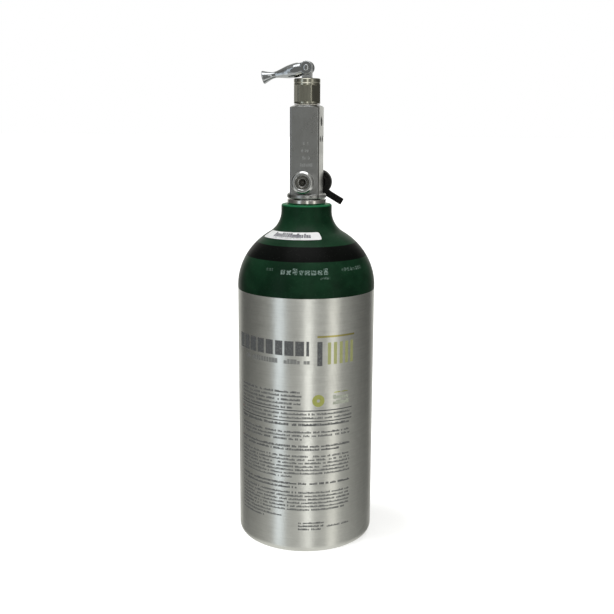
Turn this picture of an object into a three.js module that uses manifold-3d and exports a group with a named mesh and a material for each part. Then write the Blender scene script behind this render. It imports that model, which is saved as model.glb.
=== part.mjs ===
// Small aluminium oxygen cylinder with a pin-index post valve: a flip-up toggle lever opens it, and a fill
// port on the front of the valve refills it. Millimetres, +Z up, origin at the centre of the base. The outlet
// faces +X, the fill port -Y, and at rest the toggle lever lies over towards -X.
import * as THREE from 'three';
import { mergeVertices } from 'three/addons/utils/BufferGeometryUtils.js';
import Module from 'manifold-3d';

const wasm = await Module();
wasm.setup();

// ---------------------------------------------------------------- driving dimensions
const gap = 0.3; // left between pieces that seat on each other
const runGap = 0.15; // radial clearance of a turning or sliding fit

const cylinder = {
  radius: 55.55, height: 277, wall: 6, baseThickness: 11, baseEdge: 7,
  shoulderHeight: 66, shoulderRise: 51.3, neckRadius: 20.2, neckFillet: 20, neckEdge: 1.5,
  recessRadius: 36, recessDepth: 2.5, insideCorner: 14,
};
const shank = { radius: 9.4, length: 20.5, bore: 3.3, boreDepth: 9 };
const gland = { radius: 12.4, depth: 2.9, ringWire: 1.3 };
const collar = { radius: 15.5, thickness: 3.5 };
const flange = { radius: 15.7, height: 4.2, step: 0.6, waist: 11 };
const post = { widthX: 23.4, widthY: 22.2, height: 68.6, chamfer: 1.2, coneAngle: 16 };
const spigot = { radius: 8, height: 12 };
const nut = { radius: 10.45, height: 19.4, rim: 4.7, flats: 18.5, cavity: 8.3, topWall: 3.6 };
const gasketThickness = 0.7;
const seat = { drop: 18, lip: 0.8, lipRadius: 2.7, chamber: 6.8 };
const plug = { length: 19.5, threadLength: 11, tipRadius: 4.5, slotWidth: 2.6, slotDepth: 6.5, travel: 1 };
const insert = { radius: 3.5, thickness: 2.1, proud: 0.5 };
const stem = { neckRadius: 4, collarRadius: 7.6, collarThickness: 3, shaft: 6.4, blade: 2, bladeWidth: 9 };
const stemRing = { groove: 4.9, grooveHeight: 2.6, wire: 0.82, drop: 3.2 };
const washerThickness = 1.2;
const passage = 1.5;

const lever = {
  droop: 11.7, pinAbove: 8.1, hub: 5.2, width: 10.6, slot: 5.4, bodyLength: 17.5, tail: 4.7,
  waist: 2.5, knobLength: 8, knob: 5.15, knobEnd: 36.3,
};
const tongue = { width: 8, thickness: 4.8, reach: 4 };
const pin = { radius: 1.55, head: 2.4, headThickness: 0.9, tail: 1.5 };
const clip = { radius: 2.9, thickness: 0.6, groove: 0.35 };

const outlet = { drop: 12.1, radius: 3.5 };
const pinIndex = { circle: 14.29, angle: 18, radius: 2.38, depth: 5.5 };
const detent = { below: 5, radius: 3.4, depth: 2.2 };

const fill = {
  boss: 9, face: 7.5, length: 8.6, chamfer: 1.3, stub: 5.6, stubLength: 7, mouth: 5.4,
  mouthDepth: 1.4, throat: 3.1, bore: 4, step: 4,
};
const faceRing = { circle: 7.2, wire: 0.7 };
const seatRing = { inner: 3.5, thickness: 1, below: 0.2 };
const poppet = { tip: 2, head: 3.7, headThickness: 2.5, tail: 1.6, tailLength: 4.2 };
const poppetRing = { wire: 0.4, circle: 3.35 };
const spring = { wire: 0.35, circle: 2.6, turns: 5 };

const relief = {
  rise: 26.5, thread: 4.2, threadLength: 6, neck: 3.5, flats: 10, head: 5.5, bore: 1.6, vent: 0.75,
};
const disc = { radius: 3.5, thickness: 0.4 };
const reliefGasket = { inner: 1.8, thickness: 0.6 };

const cap = {
  x: 6.7, drop: 19, boss: 0.05, wall: 1.15, length: 7, crown: 1.4, rib: 0.8, ribInner: 5.4, ribOuter: 6.6,
};
const tether = { ring: 6, thickness: 2, strapLeft: 1.4, strapWidth: 4.2 };
const tab = { x: 20.3, below: 12.3, length: 13.6, width: 5.5, thickness: 1.8, slope: -30, rib: 0.5 };

const tube = { radius: 3, bore: 2, length: 62 };
const filter = { length: 9, spigot: 1.75, spigotLength: 4 };
const label = { height: 5, from: -65, to: 32, thickness: 0.35, above: 43 };

// ---------------------------------------------------------------- levels and radii worked out from them
const neckTop = cylinder.height;
const collarBottom = neckTop + gap;
const collarTop = collarBottom + collar.thickness;
const flangeBottom = collarTop + flange.step;
const flangeTop = flangeBottom + flange.height;
const postTop = flangeTop + post.height;
const gasketBottom = postTop + gap;
const nutBottom = gasketBottom + gasketThickness + gap;
const nutTop = nutBottom + nut.height;
const stemCollarBottom = postTop + spigot.height + gap;
const stemCollarTop = stemCollarBottom + stem.collarThickness;
const nutCeiling = nutTop - nut.topWall;
const seatLevel = postTop - seat.drop;
const insertBottom = seatLevel + seat.lip + gap;
const insertTop = insertBottom + insert.thickness;
const plugBottom = insertBottom + insert.proud;
const plugTop = plugBottom + plug.length;
const pinLevel = nutTop + lever.pinAbove;
const outletLevel = postTop - outlet.drop;
const fillLevel = flangeTop + gap + fill.boss;
const reliefLevel = flangeTop + relief.rise;
const stackDepth = disc.thickness + reliefGasket.thickness + gap; // burst disc and gasket, behind the plug
const halfX = post.widthX / 2;
const halfY = post.widthY / 2;
const droop = THREE.MathUtils.degToRad(lever.droop);

// ---------------------------------------------------------------- materials
const metal = (color, roughness) => new THREE.MeshStandardMaterial({ color, roughness, metalness: 1 });
const plain = (color, roughness) => new THREE.MeshStandardMaterial({ color, roughness, metalness: 0 });

// ---------------------------------------------------------------- geometry helpers
// A profile of [radius, z] pairs, turned about Z. It runs anticlockwise, radius to the right and z up.
function turned(profile, segments = 28) {
  const points = profile.map(([r, z]) => new THREE.Vector2(r, z));
  if (points[0].x > 0 || points.at(-1).x > 0) points.push(points[0].clone());
  return new THREE.LatheGeometry(points, segments).rotateX(Math.PI / 2);
}

const disk = (radius, bottom, top, segments) =>
  turned([[0, bottom], [radius, bottom], [radius, top], [0, top]], segments);

const ring = (inner, outer, bottom, top, segments) =>
  turned([[inner, bottom], [outer, bottom], [outer, top], [inner, top]], segments);

// A round section of the given wire, turned about Z.
function roundRing(circle, wire, level, segments = 24, sides = 6) {
  const profile = Array.from({ length: sides }, (_, i) => {
    const a = (i / sides) * 2 * Math.PI;
    return [circle + wire * Math.cos(a), level + wire * Math.sin(a)];
  });
  return turned(profile, segments);
}

// Points of an arc, from one angle to another, in degrees.
function arc(x, z, rx, rz, from, to, steps) {
  return Array.from({ length: steps + 1 }, (_, i) => {
    const a = THREE.MathUtils.degToRad(from + ((to - from) * i) / steps);
    return [x + rx * Math.cos(a), z + rz * Math.sin(a)];
  });
}

function block(sizeX, sizeY, sizeZ, x = 0, y = 0, z = 0) {
  return new THREE.BoxGeometry(sizeX, sizeY, sizeZ).translate(x, y, z);
}

// An outline in X and Y, extruded up from z = 0.
function extruded(points, depth) {
  const shape = new THREE.Shape(points.map(([x, y]) => new THREE.Vector2(x, y)));
  return new THREE.ExtrudeGeometry(shape, { depth, bevelEnabled: false });
}

// An outline in X and Z, extruded along Y from y = back to y = back - depth.
const plate = (points, back, depth) => extruded(points, depth).rotateX(Math.PI / 2).translate(0, back, 0);

// An outline in Y and Z, extruded along X from x = left to x = left + depth.
const sidePlate = (points, left, depth) =>
  extruded(points, depth).rotateX(Math.PI / 2).rotateZ(Math.PI / 2).translate(left, 0, 0);

// Turned shapes are made along Z. These lay them along a horizontal direction, from a point on that axis.
const alongFront = (geometry, y, z, x = 0) => geometry.rotateX(Math.PI / 2).translate(x, y, z);
const alongBack = (geometry, y, z, x = 0) => geometry.rotateX(-Math.PI / 2).translate(x, y, z);
const alongRight = (geometry, x, z, y = 0) => geometry.rotateY(Math.PI / 2).translate(x, y, z);

// ---------------------------------------------------------------- solids
function solid(geometry) {
  const bare = geometry.clone();
  bare.deleteAttribute('normal');
  bare.deleteAttribute('uv');
  const merged = mergeVertices(bare, 1e-4);
  const vertProperties = new Float32Array(merged.attributes.position.array);
  const triVerts = new Uint32Array(merged.index.array);
  return new wasm.Manifold(new wasm.Mesh({ numProp: 3, vertProperties, triVerts }));
}

function joined(...geometries) {
  return geometries.map((g) => (g.isBufferGeometry ? solid(g) : g)).reduce((a, b) => a.add(b));
}

function cut(body, ...tools) {
  const start = body.isBufferGeometry ? solid(body) : body;
  return tools.reduce((a, tool) => a.subtract(solid(tool)), start);
}

function toGeometry(manifold) {
  const { vertProperties, triVerts } = manifold.getMesh();
  const geometry = new THREE.BufferGeometry();
  geometry.setAttribute('position', new THREE.BufferAttribute(new Float32Array(vertProperties), 3));
  geometry.setIndex(new THREE.BufferAttribute(new Uint32Array(triVerts), 1));
  geometry.computeVertexNormals();
  return geometry;
}

const group = new THREE.Group();

function addPiece(name, shape, material) {
  const mesh = new THREE.Mesh(shape.isBufferGeometry ? shape : toGeometry(shape), material.clone());
  mesh.name = name;
  group.add(mesh);
}

// ---------------------------------------------------------------- the cylinder
// The concave fillet between the elliptical shoulder and the neck touches both: its angle on the ellipse is
// found by bisection.
function neckFilletTouch() {
  const { radius: a, shoulderRise: b, neckFillet: f, neckRadius } = cylinder;
  const centre = (t) => {
    const length = Math.hypot(b * Math.cos(t), a * Math.sin(t));
    return [(a + (f * b) / length) * Math.cos(t), (b + (f * a) / length) * Math.sin(t)];
  };
  let low = 0;
  let high = Math.PI / 2;
  for (let i = 0; i < 50; i += 1) {
    const middle = (low + high) / 2;
    if (centre(middle)[0] > neckRadius + f) low = middle;
    else high = middle;
  }
  return { angle: THREE.MathUtils.radToDeg(low), centre: centre(low) };
}

const shoulderBase = neckTop - cylinder.shoulderHeight;
const touch = neckFilletTouch();
const filletX = touch.centre[0];
const filletZ = shoulderBase + touch.centre[1];

// The outside of the shoulder, from the straight wall up to the neck.
function shoulderOutline(offset = 0, steps = 8) {
  const { radius, shoulderRise, neckFillet } = cylinder;
  const dome = arc(0, shoulderBase, radius + offset, shoulderRise + offset, 0, touch.angle, steps);
  const slope = THREE.MathUtils.radToDeg(Math.atan2(filletZ - dome.at(-1)[1], filletX - dome.at(-1)[0]));
  const bend = neckFillet - offset;
  return [...dome, ...arc(filletX, filletZ, bend, bend, 180 + slope, 180, 4).slice(1)];
}

function cylinderShell() {
  const c = cylinder;
  const inside = c.radius - c.wall;
  const rise = c.shoulderRise - c.wall;
  const neckBore = shank.radius + gap;
  const boreAngle = THREE.MathUtils.radToDeg(Math.acos(neckBore / inside));
  const floor = c.baseThickness;
  return turned([
    [0, c.recessDepth],
    [c.recessRadius * 0.6, c.recessDepth * 0.62],
    [c.recessRadius, 0],
    ...arc(c.radius - c.baseEdge, c.baseEdge, c.baseEdge, c.baseEdge, -90, 0, 4),
    ...shoulderOutline(),
    ...arc(c.neckRadius - c.neckEdge, neckTop - c.neckEdge, c.neckEdge, c.neckEdge, 0, 90, 2),
    [gland.radius, neckTop],
    [gland.radius, neckTop - gland.depth],
    [neckBore, neckTop - gland.depth],
    ...arc(0, shoulderBase, inside, rise, boreAngle, 0, 5),
    ...arc(inside - c.insideCorner, floor + c.insideCorner, c.insideCorner, c.insideCorner, 0, -90, 3),
    [0, floor],
  ], 40);
}

// A thin strip wrapped round the shoulder, between two angles measured from the front towards +X.
function shoulderLabel() {
  const slice = shoulderOutline(gap, 40);
  const low = shoulderBase + label.above - label.height / 2;
  const heights = [0, 0.5, 1].map((t) => low + t * label.height);
  const radiusAt = (z) => {
    const i = slice.findIndex(([, height]) => height > z);
    const [[r0, z0], [r1, z1]] = [slice[i - 1], slice[i]];
    return r0 + ((r1 - r0) * (z - z0)) / (z1 - z0);
  };
  const inner = heights.map((z) => [radiusAt(z), z]);
  const outer = inner.map(([r, z]) => [r + label.thickness, z + label.thickness]);
  const band = turned([...outer, ...inner.reverse()], 40);
  const reach = cylinder.radius * 2;
  const steps = 12;
  const wedge = Array.from({ length: steps + 1 }, (_, i) => {
    const a = THREE.MathUtils.degToRad(label.from + ((label.to - label.from) * i) / steps - 90);
    return [reach * Math.cos(a), reach * Math.sin(a)];
  });
  const sector = extruded([[0, 0], ...wedge], reach).translate(0, 0, shoulderBase);
  return solid(band).intersect(solid(sector));
}

// ---------------------------------------------------------------- the valve body
function postBlock() {
  const { chamfer } = post;
  const corner = [[halfX, halfY - chamfer], [halfX - chamfer, halfY]];
  const mirrored = corner.map(([x, y]) => [-x, y]).reverse();
  const half = [...corner, ...mirrored];
  const section = [...half, ...half.map(([x, y]) => [-x, -y])];
  const bottom = flangeTop - flange.height / 2;
  const height = postTop - bottom;
  const column = extruded(section, height);
  const cone = Math.tan(THREE.MathUtils.degToRad(post.coneAngle));
  const flat = nut.radius + gap;
  const reach = Math.hypot(halfX, halfY) + 1;
  const edge = postTop - (reach - flat) * cone;
  const turnedTop = turned([
    [0, bottom - 1], [reach, bottom - 1], [reach, edge], [flat, postTop], [0, postTop],
  ]);
  return solid(column.translate(0, 0, bottom)).intersect(solid(turnedTop));
}

function valveBody() {
  const neckBottom = neckTop + gap;
  const shankBottom = neckTop - shank.length;
  const foot = turned([
    [0, shankBottom], [shank.radius - 0.8, shankBottom], [shank.radius, shankBottom + 0.8],
    [shank.radius, neckBottom], [flange.waist, neckBottom], [flange.waist, flangeBottom],
    [flange.radius - 1, flangeBottom], [flange.radius, flangeBottom + 1], [flange.radius, flangeTop - 1.6],
    [flange.radius - 1.6, flangeTop], [0, flangeTop],
  ], 40);
  const top = postTop + spigot.height;
  const chamber = turned([
    [0, seatLevel + seat.lip], [seat.lipRadius, seatLevel + seat.lip], [seat.lipRadius, seatLevel],
    [seat.chamber, seatLevel], [seat.chamber, top + 1], [0, top + 1],
  ]);
  const { circle, angle, radius, depth } = pinIndex;
  const below = circle * Math.cos(THREE.MathUtils.degToRad(angle));
  const aside = circle * Math.sin(THREE.MathUtils.degToRad(angle));
  const indexHoles = [-aside, aside].map((y) =>
    alongRight(disk(radius, -depth, 1, 16), halfX, outletLevel - below, y));
  const screwMark = turned([[0, -detent.depth], [detent.radius + 1, 1], [0, 1]], 20).rotateY(Math.PI);
  const reliefDepth = relief.threadLength + 2 * gap + stackDepth;
  return cut(
    joined(foot, postBlock(), disk(spigot.radius, postTop - 1, top)),
    chamber,
    disk(passage, shankBottom - 1, seatLevel + seat.lip + 1, 12),
    disk(shank.bore, shankBottom - 1, shankBottom + shank.boreDepth, 20),
    alongRight(disk(outlet.radius, -halfX, 1, 24), halfX, outletLevel),
    ...indexHoles,
    alongRight(screwMark, -halfX, outletLevel - detent.below),
    alongFront(disk(fill.stub + gap, -fill.stubLength - gap, 1), -halfY, fillLevel),
    alongFront(disk(passage, -halfY, 0, 12), -halfY, fillLevel),
    alongBack(disk(relief.thread + gap, -reliefDepth, 1, 20), halfY, reliefLevel),
    alongBack(disk(passage, -halfY, 0, 12), halfY, reliefLevel),
  );
}

const neckCollar = () => ring(flange.waist + gap, collar.radius, collarBottom, collarTop);

const neckRing = () =>
  roundRing((shank.radius + gland.radius) / 2, gland.ringWire, neckTop - gland.depth / 2);

// ---------------------------------------------------------------- the bonnet and what it holds
function bonnetNut() {
  const foot = 1.2;
  const across = nut.flats / 2;
  const flatTop = nutTop - nut.rim;
  const body = turned([
    [nut.cavity, nutBottom], [nut.radius, nutBottom], [nut.radius, nutTop - 0.6], [nut.radius - 0.6, nutTop],
    [stem.neckRadius + runGap, nutTop], [stem.neckRadius + runGap, nutCeiling], [nut.cavity, nutCeiling],
  ], 36);
  const middle = (flatTop + nutBottom + foot) / 2;
  const flats = Array.from({ length: 6 }, (_, i) =>
    block(nut.radius, 2 * nut.radius, flatTop - nutBottom - foot, across + nut.radius / 2, 0, middle)
      .rotateZ((i * Math.PI) / 3 + Math.PI / 6));
  return cut(body, ...flats);
}

const bonnetGasket = () =>
  ring(spigot.radius + gap, nut.radius - 0.4, gasketBottom, gasketBottom + gasketThickness);

const thrustWasher = () =>
  ring(stem.neckRadius + gap, stem.collarRadius, stemCollarTop + gap, stemCollarTop + gap + washerThickness);

const stemSeal = () =>
  roundRing((stemRing.groove + seat.chamber) / 2, stemRing.wire, stemCollarBottom - stemRing.drop);

function stemPiece() {
  const shaftBottom = plugTop + plug.travel + gap;
  const ringLevel = stemCollarBottom - stemRing.drop;
  const half = stemRing.grooveHeight / 2;
  const neckTopLevel = nutTop + 0.8;
  const turnedStem = turned([
    [0, shaftBottom], [stem.shaft, shaftBottom], [stem.shaft, ringLevel - half],
    [stemRing.groove, ringLevel - half], [stemRing.groove, ringLevel + half],
    [stem.shaft, ringLevel + half], [stem.shaft, stemCollarBottom],
    [stem.collarRadius, stemCollarBottom], [stem.collarRadius, stemCollarTop],
    [stem.neckRadius, stemCollarTop], [stem.neckRadius, neckTopLevel], [0, neckTopLevel],
  ]);
  const bladeBottom = plugTop - plug.slotDepth + plug.travel + gap;
  const blade = block(stem.blade, stem.bladeWidth, shaftBottom + 1 - bladeBottom, 0, 0,
    (shaftBottom + 1 + bladeBottom) / 2);
  const w = tongue.width / 2;
  const side = plate([
    [-w, nutTop + gap], [w, nutTop + gap], ...arc(0, pinLevel, w, tongue.reach, 0, 180, 8),
  ], tongue.thickness / 2, tongue.thickness);
  const pinHole = alongFront(disk(pin.radius + runGap, -halfY, halfY, 16), 0, pinLevel);
  return cut(joined(turnedStem, blade, side), pinHole);
}

function seatPlug() {
  const threadBottom = plugTop - plug.threadLength;
  const thread = seat.chamber - gap;
  const body = turned([
    [0, plugBottom], [plug.tipRadius, plugBottom], [plug.tipRadius, threadBottom - 1],
    [thread - 0.6, threadBottom - 1], [thread, threadBottom - 0.4], [thread, plugTop - 0.5],
    [thread - 0.5, plugTop], [0, plugTop],
  ]);
  const pocket = disk(insert.radius + gap, plugBottom - 1, insertTop + gap, 24);
  const depth = plug.slotDepth;
  const slot = block(plug.slotWidth, 2 * thread + 1, depth + 1, 0, 0, plugTop - depth / 2 + 0.5);
  return cut(body, pocket, slot);
}

// ---------------------------------------------------------------- the toggle lever
// Made pointing along -X from the pin at the origin, then laid over until it rests on the rim of the nut.
function toggleLever() {
  const { hub, waist, knob, tail, bodyLength: end, knobEnd: tip } = lever;
  const deep = lever.pinAbove * Math.cos(droop) - nut.radius * Math.sin(droop) - gap;
  const deepest = nut.radius + 1;
  const side = [
    ...arc(0, 0, hub, hub, -80, 80, 8),
    [-deepest * 0.7, deep], [-deepest - 1.5, deep], [-end, tail],
    [-end, -tail], [-deepest - 1.5, -deep], [-deepest * 0.7, -deep],
  ];
  const body = plate(side, lever.width / 2, lever.width);
  const flare = tip - lever.knobLength;
  const handle = turned([
    [0, end - 3], [tail, end - 3], [tail, end], [tail * 0.9, end + 2], [tail * 0.66, end + 5],
    [waist, flare - 2.5], [waist, flare], [knob * 0.6, flare + 1.8], [knob * 0.8, flare + 4.4],
    [knob, tip - 0.7], [knob * 0.93, tip], [knob * 0.46, tip - 0.9], [0, tip - 1.1],
  ], 24).rotateY(-Math.PI / 2);
  const slotEnd = Math.hypot(tongue.width / 2, hub) + gap;
  const slot = block(slotEnd + 2 * hub, lever.slot, 4 * hub, hub - slotEnd / 2, 0, 0);
  const hole = disk(pin.radius + runGap, -lever.width, lever.width, 16).rotateX(Math.PI / 2);
  const made = cut(joined(body, handle), slot, hole);
  return toGeometry(made).rotateY(-droop).translate(0, 0, pinLevel);
}

function leverPin() {
  const side = lever.width / 2 + gap;
  const grooveEnd = side + clip.thickness + gap;
  const root = pin.radius - clip.groove;
  const shape = turned([
    [0, -grooveEnd - pin.tail], [pin.radius, -grooveEnd - pin.tail], [pin.radius, -grooveEnd],
    [root, -grooveEnd], [root, -side], [pin.radius, -side], [pin.radius, side], [pin.head, side],
    [pin.head, side + pin.headThickness * 0.5], [pin.head * 0.75, side + pin.headThickness],
    [0, side + pin.headThickness],
  ], 16);
  return alongFront(shape, 0, pinLevel);
}

function leverPinClip() {
  const start = lever.width / 2 + gap + gap / 2;
  const inner = pin.radius - clip.groove + 0.1;
  const shape = cut(
    ring(inner, clip.radius, start, start + clip.thickness, 20),
    block(1.8, clip.radius, 4, 0, clip.radius / 2 + 0.4, start),
  );
  return alongBack(toGeometry(shape), 0, pinLevel);
}

// ---------------------------------------------------------------- the fill port
function fillPortBody() {
  const f = fill;
  const shape = turned([
    [f.bore, -f.stubLength], [f.stub, -f.stubLength], [f.stub, gap], [f.boss, gap],
    [f.boss, f.length - f.chamfer], [f.face, f.length], [f.mouth, f.length],
    [f.mouth, f.length - f.mouthDepth], [f.throat, f.length - f.mouthDepth], [f.throat, f.step],
    [f.bore, f.step],
  ], 36);
  const { circle, wire } = faceRing;
  const groove = ring(circle - wire - runGap, circle + wire + runGap, gap - 1, 2 * gap + 2 * wire, 36);
  return alongFront(toGeometry(cut(shape, groove)), -halfY, fillLevel);
}

const fillPortSeal = () =>
  alongFront(roundRing(faceRing.circle, faceRing.wire, gap + faceRing.wire, 36), -halfY, fillLevel);

function fillSeatRing() {
  const top = fill.length - seatRing.below;
  const bottom = top - seatRing.thickness;
  const outer = fill.mouth - runGap;
  const { inner } = seatRing;
  const shape = turned([
    [inner, bottom], [outer, bottom], [outer, top], [inner + 0.5, top], [inner, top - 0.4],
  ], 36);
  return alongFront(shape, -halfY, fillLevel);
}

function fillPoppet() {
  const { head, tail, tip } = poppet;
  const end = fill.length - fill.mouthDepth;
  const headTop = fill.step - gap;
  const headBottom = headTop - poppet.headThickness;
  const middle = (headTop + headBottom) / 2;
  const half = poppetRing.wire + 0.1;
  const root = poppetRing.circle - half;
  const shape = turned([
    [0, headBottom - poppet.tailLength], [tail, headBottom - poppet.tailLength], [tail, headBottom],
    [head, headBottom], [head, middle - half], [root, middle - half], [root, middle + half],
    [head, middle + half], [head, headTop], [tip, headTop], [tip, end - 0.5], [tip - 0.5, end], [0, end],
  ], 20);
  return alongFront(shape, -halfY, fillLevel);
}

function poppetSeal() {
  const middle = fill.step - gap - poppet.headThickness / 2;
  return alongFront(roundRing(poppetRing.circle, poppetRing.wire, middle, 20), -halfY, fillLevel);
}

function fillSpring() {
  const { circle, turns, wire } = spring;
  const top = fill.step - poppet.headThickness - 2 * gap - wire;
  const bottom = wire - fill.stubLength;
  class Helix extends THREE.Curve {
    getPoint(t) {
      const a = 2 * Math.PI * turns * t;
      return new THREE.Vector3(circle * Math.cos(a), circle * Math.sin(a), bottom + (top - bottom) * t);
    }
  }
  const section = new THREE.Shape(arc(0, 0, wire, wire, 0, 300, 5).map(([x, y]) => new THREE.Vector2(x, y)));
  const coil = new THREE.ExtrudeGeometry(section, {
    steps: turns * 8, bevelEnabled: false, extrudePath: new Helix(),
  });
  return alongFront(coil, -halfY, fillLevel);
}

// ---------------------------------------------------------------- the burst-disc relief plug, on the back
function reliefPlug() {
  const tetherRoom = tether.thickness + 2 * gap;
  const headEnd = tetherRoom + relief.head;
  const corner = relief.flats / Math.sqrt(3);
  const shape = turned([
    [relief.bore, -relief.threadLength], [relief.thread, -relief.threadLength], [relief.thread, -gap],
    [relief.neck, -gap], [relief.neck, tetherRoom], [corner, tetherRoom], [corner, headEnd - 0.8],
    [corner - 0.8, headEnd], [0, headEnd], [0, headEnd - 1.8], [relief.bore, headEnd - 1.8],
  ], 24);
  const hexagon = Array.from({ length: 6 }, (_, i) => {
    const a = (i * Math.PI) / 3;
    return [corner * Math.cos(a), corner * Math.sin(a)];
  });
  const wrench = extruded(hexagon, 4 * headEnd).translate(0, 0, -2 * headEnd);
  const ventLevel = tetherRoom + relief.head * 0.45;
  const vents = [0, Math.PI / 2].map((turn) =>
    alongRight(disk(relief.vent, -2 * corner, 2 * corner, 10), 0, ventLevel).rotateZ(turn));
  const made = cut(solid(shape).intersect(solid(wrench)), ...vents);
  return alongBack(toGeometry(made), halfY, reliefLevel);
}

function burstDisc() {
  const top = -relief.threadLength - gap;
  return alongBack(disk(disc.radius, top - disc.thickness, top, 20), halfY, reliefLevel);
}

function reliefGasketRing() {
  const top = -relief.threadLength - disc.thickness - 2 * gap;
  const washer = ring(reliefGasket.inner, disc.radius, top - reliefGasket.thickness, top, 20);
  return alongBack(washer, halfY, reliefLevel);
}

// ---------------------------------------------------------------- the rubber dust cap, behind the post
// One moulding: a cup that fits over the fill port, a pull tab, and a strap up to an eyelet round the relief
// plug.
function dustCap() {
  const front = Math.max(flange.radius, halfY + tether.thickness) + gap;
  const level = reliefLevel - cap.drop;
  const inner = fill.boss + cap.boss;
  const outer = inner + cap.wall;
  const cup = alongBack(turned([
    [0, 0], [outer - 0.8, 0], [outer, 0.8], [outer, cap.length], [inner, cap.length], [inner, cap.crown],
    [0, cap.crown],
  ]), front, level, cap.x);
  const rib = alongBack(ring(cap.ribInner, cap.ribOuter, -cap.rib, cap.crown / 2), front, level, cap.x);

  const angle = THREE.MathUtils.degToRad(tab.slope);
  const tabCentre = [tab.x, level - tab.below];
  const ribs = [0.15, 0.3, 0.45].map((t) =>
    block(1, tab.width, tab.rib * 2, t * tab.length, 0, tab.thickness / 2));
  const grip = joined(block(tab.length, tab.width, tab.thickness), ...ribs);
  const tabFront = front + cap.crown - tab.thickness / 2;
  const placedTab = toGeometry(grip).rotateX(Math.PI / 2).rotateY(-angle)
    .translate(tabCentre[0], tabFront + tab.thickness / 2, tabCentre[1]);
  const root = [cap.x + (outer - 2.5) * 0.6, level - (outer - 2.5) * 0.8];
  const back = tab.length / 2 - 1;
  const start = [tabCentre[0] - back * Math.cos(angle), tabCentre[1] - back * Math.sin(angle)];
  const web = strip(root, start, tab.width, tabFront + tab.thickness, tab.thickness);

  const eyeletFront = halfY + gap;
  const eyeletBack = eyeletFront + tether.thickness;
  const eyelet = ring(relief.neck + gap, tether.ring, 0, tether.thickness);
  const strapTop = reliefLevel - tether.ring * 0.62;
  const strapFoot = level + outer - 2.8;
  const strap = sidePlate([
    [eyeletFront, strapTop], [eyeletFront, strapTop - 2.4], [front + 0.2, strapFoot],
    [front + 0.2 + tether.thickness, strapFoot], [eyeletBack, strapTop - 1.2], [eyeletBack, strapTop],
  ], tether.strapLeft, tether.strapWidth);
  return joined(cup, rib, placedTab, web, alongBack(eyelet, eyeletFront, reliefLevel), strap);
}

// A flat strip between two points in X and Z, square ended, of one thickness along Y.
function strip([x0, z0], [x1, z1], width, back, thickness) {
  const length = Math.hypot(x1 - x0, z1 - z0);
  const [nx, nz] = [(-(z1 - z0) / length) * (width / 2), ((x1 - x0) / length) * (width / 2)];
  const corners = [[x0 - nx, z0 - nz], [x1 - nx, z1 - nz], [x1 + nx, z1 + nz], [x0 + nx, z0 + nz]];
  return plate(corners, back, thickness);
}

// ---------------------------------------------------------------- inside the cylinder
function debrisTube() {
  const top = neckTop - shank.length + shank.boreDepth - gap;
  return ring(tube.bore, tube.radius, top - tube.length, top, 16);
}

function inletFilter() {
  const top = neckTop - shank.length + shank.boreDepth - tube.length - 2 * gap;
  return turned([
    [0, top - filter.length], [tube.radius - 1, top - filter.length], [tube.radius, top - filter.length + 1],
    [tube.radius, top], [filter.spigot, top], [filter.spigot, top + filter.spigotLength],
    [0, top + filter.spigotLength],
  ], 16);
}

// ---------------------------------------------------------------- the assembly
const brass = metal(0xb59a5a, 0.38);
const bright = metal(0xc8cacc, 0.15);
const steel = metal(0xb0b2b4, 0.25);
const rubber = plain(0x161616, 0.65);
const polymer = plain(0xe6e2d8, 0.6);

addPiece('cylinder_shell', cylinderShell(), metal(0xb4b6b4, 0.4));
addPiece('shoulder_label', shoulderLabel(), plain(0xeef0f0, 0.5));
addPiece('valve_body', valveBody(), metal(0x9a9ba0, 0.35));
addPiece('neck_collar', neckCollar(), metal(0xa8a8aa, 0.3));
addPiece('neck_o_ring', neckRing(), rubber);
addPiece('debris_tube', debrisTube(), brass);
addPiece('inlet_filter', inletFilter(), metal(0x9c7c50, 0.8));
addPiece('bonnet_nut', bonnetNut(), bright);
addPiece('bonnet_gasket', bonnetGasket(), polymer);
addPiece('valve_stem', stemPiece(), steel);
addPiece('stem_thrust_washer', thrustWasher(), polymer);
addPiece('stem_o_ring', stemSeal(), rubber);
addPiece('seat_plug', seatPlug(), brass);
addPiece('seat_insert', disk(insert.radius, insertBottom, insertTop, 24), polymer);
addPiece('toggle_lever', toggleLever(), bright);
addPiece('lever_pin', leverPin(), steel);
addPiece('lever_pin_clip', leverPinClip(), metal(0x55585a, 0.4));
addPiece('fill_port_body', fillPortBody(), bright);
addPiece('fill_port_o_ring', fillPortSeal(), rubber);
addPiece('fill_seat_ring', fillSeatRing(), metal(0x8e8c84, 0.35));
addPiece('fill_poppet', fillPoppet(), steel);
addPiece('poppet_o_ring', poppetSeal(), rubber);
addPiece('fill_spring', fillSpring(), steel);
addPiece('relief_plug', reliefPlug(), brass);
addPiece('burst_disc', burstDisc(), metal(0xb87350, 0.35));
addPiece('relief_gasket', reliefGasketRing(), polymer);
addPiece('dust_cap', dustCap(), rubber);

export default group;
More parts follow.
